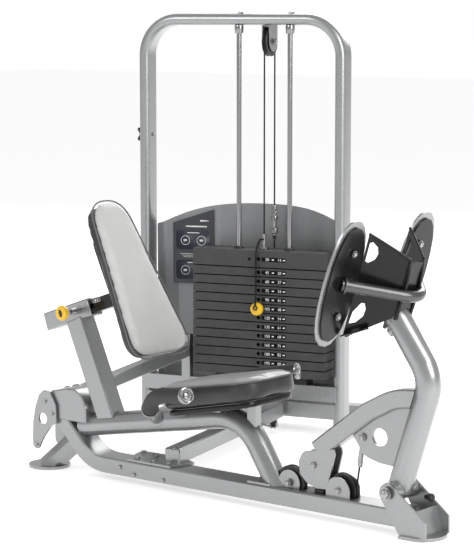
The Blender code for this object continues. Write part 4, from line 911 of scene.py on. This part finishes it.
def foot_hardware():
    """Grip tube between the foot plates, and the folded lips of the dark bracket."""
    root = 0.0088
    bend = [(root, -0.158, 0.002), (0.146, 0, 0.002), (root, 0.158, 0.002)]
    tube = sweep("foot_tube_bent", smooth_path(bend, 0.062, 12), FOOT_TUBE_R, GUNMETAL, "press_arm", FOOT,
                 sides=32)
    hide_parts("foot_cross_tube")
    for side, label in ((-1, "near"), (1, "far")):
        collar = [(FOOT_TUBE_R, 0), (0.0200, 0), (0.0212, 0.002), (0.0206, 0.006), (0.0150, 0.0085),
                  (FOOT_TUBE_R, 0)]
        way = Vector((0.137, -side * 0.158, 0))
        lathe("foot_tube_collar_" + label, collar, GUNMETAL, "press_arm", FOOT
              @ facing(way, (root + 0.004, side * 0.154, 0.002)), 28)
        top = [(0.004, side * 0.088, 0.127), (0.030, side * 0.0725, 0.118), (0.070, side * 0.0465, 0.102),
               (0.101, side * 0.0275, 0.089)]
        sweep("bracket_lip_top_" + label, smooth_path(top, 0.02, 5), 0.0036, DARK, "press_arm", FOOT,
              sides=12)
        fold = [(0.101, side * 0.0275, 0.089), (0.1085, side * 0.0290, 0.045),
                (0.1090, side * 0.0300, 0.010), (0.1050, side * 0.0295, -0.064)]
        sweep("bracket_lip_fold_" + label, smooth_path(fold, 0.03, 6), 0.0042, DARK, "press_arm", FOOT,
              sides=12)
        along = Vector((0.046, -side * 0.028, 0.034)).normalized()
        out = Vector((0, side, 0))
        out = (out - along * out.dot(along)).normalized()
        turn = Matrix((along, out, along.cross(out))).transposed().to_4x4()
        lip = rounded_outline(0.036, 0.017, 0.017, 0.012, 6)
        spot = FOOT @ Matrix.Translation(Vector((0.029, side * 0.073, -0.125)) + out * 0.013) @ turn
        ring_piece = add("bracket_lip_low_" + label, plate_with_oval("lip", lip, (0.013, 0.0075), 0.004),
                         DARK, None, spot)
        sharpen(ring_piece)
        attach(ring_piece, "press_arm")


def plate_with_oval(name, outline, oval, thick):
    """Flat plate with an oval hole in its middle; the outline's points are joined to the hole's in turn."""
    count = len(outline)
    start = atan2(outline[0][1] / oval[1], outline[0][0] / oval[0])
    way = -1 if outline[0][0] * outline[1][1] - outline[0][1] * outline[1][0] < 0 else 1
    angles = [start + way * 2 * pi * k / count for k in range(count)]
    inner = [(oval[0] * cos(a), oval[1] * sin(a)) for a in angles]
    points = [(p[0], p[1], z) for z in (-thick / 2, thick / 2) for ring in (outline, inner) for p in ring]
    faces = []
    for k in range(count):
        j = (k + 1) % count
        a, b, c, d = k, j, count + j, count + k
        faces += [(a, b, c, d), (a + 2 * count, d + 2 * count, c + 2 * count, b + 2 * count),
                  (b, a, a + 2 * count, b + 2 * count), (d, c, c + 2 * count, d + 2 * count)]
    return facing_out(from_points(name, points, faces))


def placard():
    """Dark sheet with generic panels, rings and bars in place of printing."""
    turn = Matrix.Rotation(radians(9), 4, "Z") @ Matrix.Rotation(pi / 2, 4, "X")
    face = TOWER @ Matrix.Translation((-0.2045, 0.0650, 0.546)) @ turn @ Matrix.Translation((0, 0, 0.0011))
    parts = []

    def flat(outline, x, y, look, lift=0.0002):
        mesh = prism_mesh("panel", outline, 0.0004)
        parts.append(add("panel", mesh, look, None, face @ Matrix.Translation((x, y, lift))))

    for y in (0.032, -0.062):
        flat(rounded_outline(0.056, 0.030, 0.030, 0.012, 4), 0, y, SLATE)
        for x in (-0.026, 0.026):
            ring = [(x + 0.014 * cos(2 * pi * k / 28), y - 0.002 + 0.014 * sin(2 * pi * k / 28), 0.0005)
                    for k in range(28)]
            parts.append(add("ring", sweep_mesh("ring", ring, 0.0009, 6, True), PRINT, None, face))
            flat(rounded_outline(0.006, 0.004, 0.0025, 0.002, 3), x, y - 0.002, PRINT, 0.0005)
        flat(rounded_outline(0.020, 0.0014, 0.0014, 0.0008, 2), 0, y + 0.022, PRINT, 0.0005)
    flat(rounded_outline(0.034, 0.0022, 0.0022, 0.0012, 2), 0.010, 0.074, PRINT)
    flat(rounded_outline(0.014, 0.0030, 0.0012, 0.001, 2), 0.036, 0.092, PRINT)
    for k in range(3):
        flat(rounded_outline(0.040 - 0.006 * k, 0.0007, 0.0007, 0.0005, 2), -0.004, -0.012 - 0.005 * k,
             PRINT)
    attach(join(parts, "placard_graphics"), "frame")


# ---------------------------------------------------------------- handles

def handles():
    for name, side in (("near", -1), ("far", 1)):
        corners = [(-0.172, side * 0.004, 0.186), (-0.112, side * 0.118, 0.234),
                   (-0.036, side * 0.178, 0.294), (GRIP_END[0], side * GRIP_END[1], GRIP_END[2])]
        path = smooth_path(corners, 0.070, 10)
        lengths = [0.0]
        for a, b in zip(path, path[1:]):
            lengths.append(lengths[-1] + (b - a).length)
        begin = next(k for k, d in enumerate(lengths) if d > GRIP_START)
        bare = [p for p, d in zip(path, lengths) if HANDLE_START < d]
        tube = sweep("handle_tube_" + name, bare[:begin + 2], HANDLE_R, PAINT, "frame", MACHINE, sides=28)
        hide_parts("handle_" + name)
        way = (path[begin + 1] - path[begin]).normalized()
        ring = [(0.0150, -0.005), (0.0228, -0.005), (0.0240, -0.003), (0.0240, 0.003), (0.0228, 0.005),
                (0.0150, 0.005), (0.0150, -0.005)]
        lathe("grip_collar_" + name, ring, CHROME, "frame", MACHINE @ facing(way, path[begin]), 36)
        skin = path[begin:]
        radii = [GRIP_R - 0.001] + [GRIP_R] * (len(skin) - 1)
        grip = sweep("grip_sleeve_" + name, skin, radii, RUBBER, "frame", MACHINE, sides=32)
        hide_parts("grip_" + name)
        way = (path[-1] - path[-2]).normalized()
        cap = [(0, -0.004), (0.0200, -0.004), (0.0218, -0.002), (0.0222, 0.002), (0.0214, 0.0050),
               (0.0185, 0.0062), (0.0160, 0.0050), (0.0150, 0.0030), (0.0100, 0.0028), (0.0085, 0.0060),
               (0.0050, 0.0072), (0, 0.0074)]
        lathe("grip_cap_" + name, cap, CHROME, "frame", MACHINE @ facing(way, path[-1]), 40)
        flange = [(0, 0), (0.0240, 0), (0.0240, 0.006), (0.0180, 0.009), (0.0165, 0.016), (0, 0.016)]
        way = (Vector(corners[1]) - Vector(corners[0])).normalized()
        lathe("handle_socket_" + name, flange, PAINT, "frame", MACHINE @ facing(way, path[0] + way * 0.028),
              28)


# ---------------------------------------------------------------- stage

def area_light(name, place, target, size, power, size_y=None):
    data = bpy.data.lights.new(name, "AREA")
    data.energy = power
    data.size = size
    if size_y:
        data.shape = "RECTANGLE"
        data.size_y = size_y
    lamp = bpy.data.objects.new(name, data)
    bpy.context.scene.collection.objects.link(lamp)
    lamp.location = place
    lamp.rotation_euler = (Vector(target) - Vector(place)).to_track_quat("-Z", "Y").to_euler()
    return lamp


def stage():
    floor = add("floor", prism_mesh("floor", [(-30, -30), (30, -30), (30, 30), (-30, 30)], 0.01), PALE, None,
                Matrix.Translation((0, 0, -0.0051)), smooth=False)
    world = bpy.data.worlds.new("studio")
    world.use_nodes = True
    sky = world.node_tree.nodes["Background"]
    sky.inputs["Color"].default_value = (1, 1, 1, 1)
    seen = node(world.node_tree, "ShaderNodeLightPath")
    level = node(world.node_tree, "ShaderNodeMapRange", To_Min=SKY_LIT, To_Max=SKY_SEEN)
    world.node_tree.links.new(seen.outputs["Is Camera Ray"], level.inputs["Value"])
    world.node_tree.links.new(level.outputs["Result"], sky.inputs["Strength"])
    bpy.context.scene.world = world
    bpy.context.scene.view_settings.view_transform = "Standard"
    area_light("key_light", (-1.2, -3.4, 3.0), (0, 0, 0.5), 1.6, 40)
    area_light("side_light", (3.6, -0.6, 2.4), (0, 0, 0.5), 1.8, 100, 3.0)
    area_light("back_light", (-1.5, 4.5, 3.6), (0, 1.0, 0.3), 4.0, 190)


def camera():
    data = bpy.data.cameras.new("camera")
    data.lens = CAMERA_LENS
    data.sensor_width = 36
    data.clip_end = 60
    holder = bpy.data.objects.new("camera", data)
    bpy.context.scene.collection.objects.link(holder)
    holder.location = CAMERA_PLACE
    holder.rotation_euler = CAMERA_TURN
    bpy.context.scene.camera = holder


camera()
stage()
finish_cad_nodes()
seat_and_back()
TURNS = turned_cable()
wheel("top_pulley", "top_wheel", (STACK_U, STACK_N + RUN_R, TOP_PULLEY_Z), (1, 0, 0), TOWER)
wheel("lower_pulley", "lower_wheel", TURNS["lower"], TURNS["lower_axis"])
wheel("guide_pulley", "guide_wheel", TURNS["guide"], TURNS["guide_axis"])
wheel("foot_pulley", "foot_wheel", (FOOT_PULLEY[0], 0, FOOT_PULLEY[1]), (0, 1, 0))
wheel("rail_pulley", "rail_wheel", (RAIL_PULLEY[0], 0, RAIL_PULLEY[1]), (0, 1, 0))
wheel("lever_pulley", "lever_wheel", (LEVER_PULLEY[0], 0, LEVER_PULLEY[1]), (0, 1, 0))
tower_cables(TURNS)
arm_cables()
rods_and_fittings()
stack_labels()
selector()
lanyard()
pull_pin_knob()
slide_scale()
hoop_skin()
placard()
foot_hardware()
handles()
frame_bolts()
tower_knob()
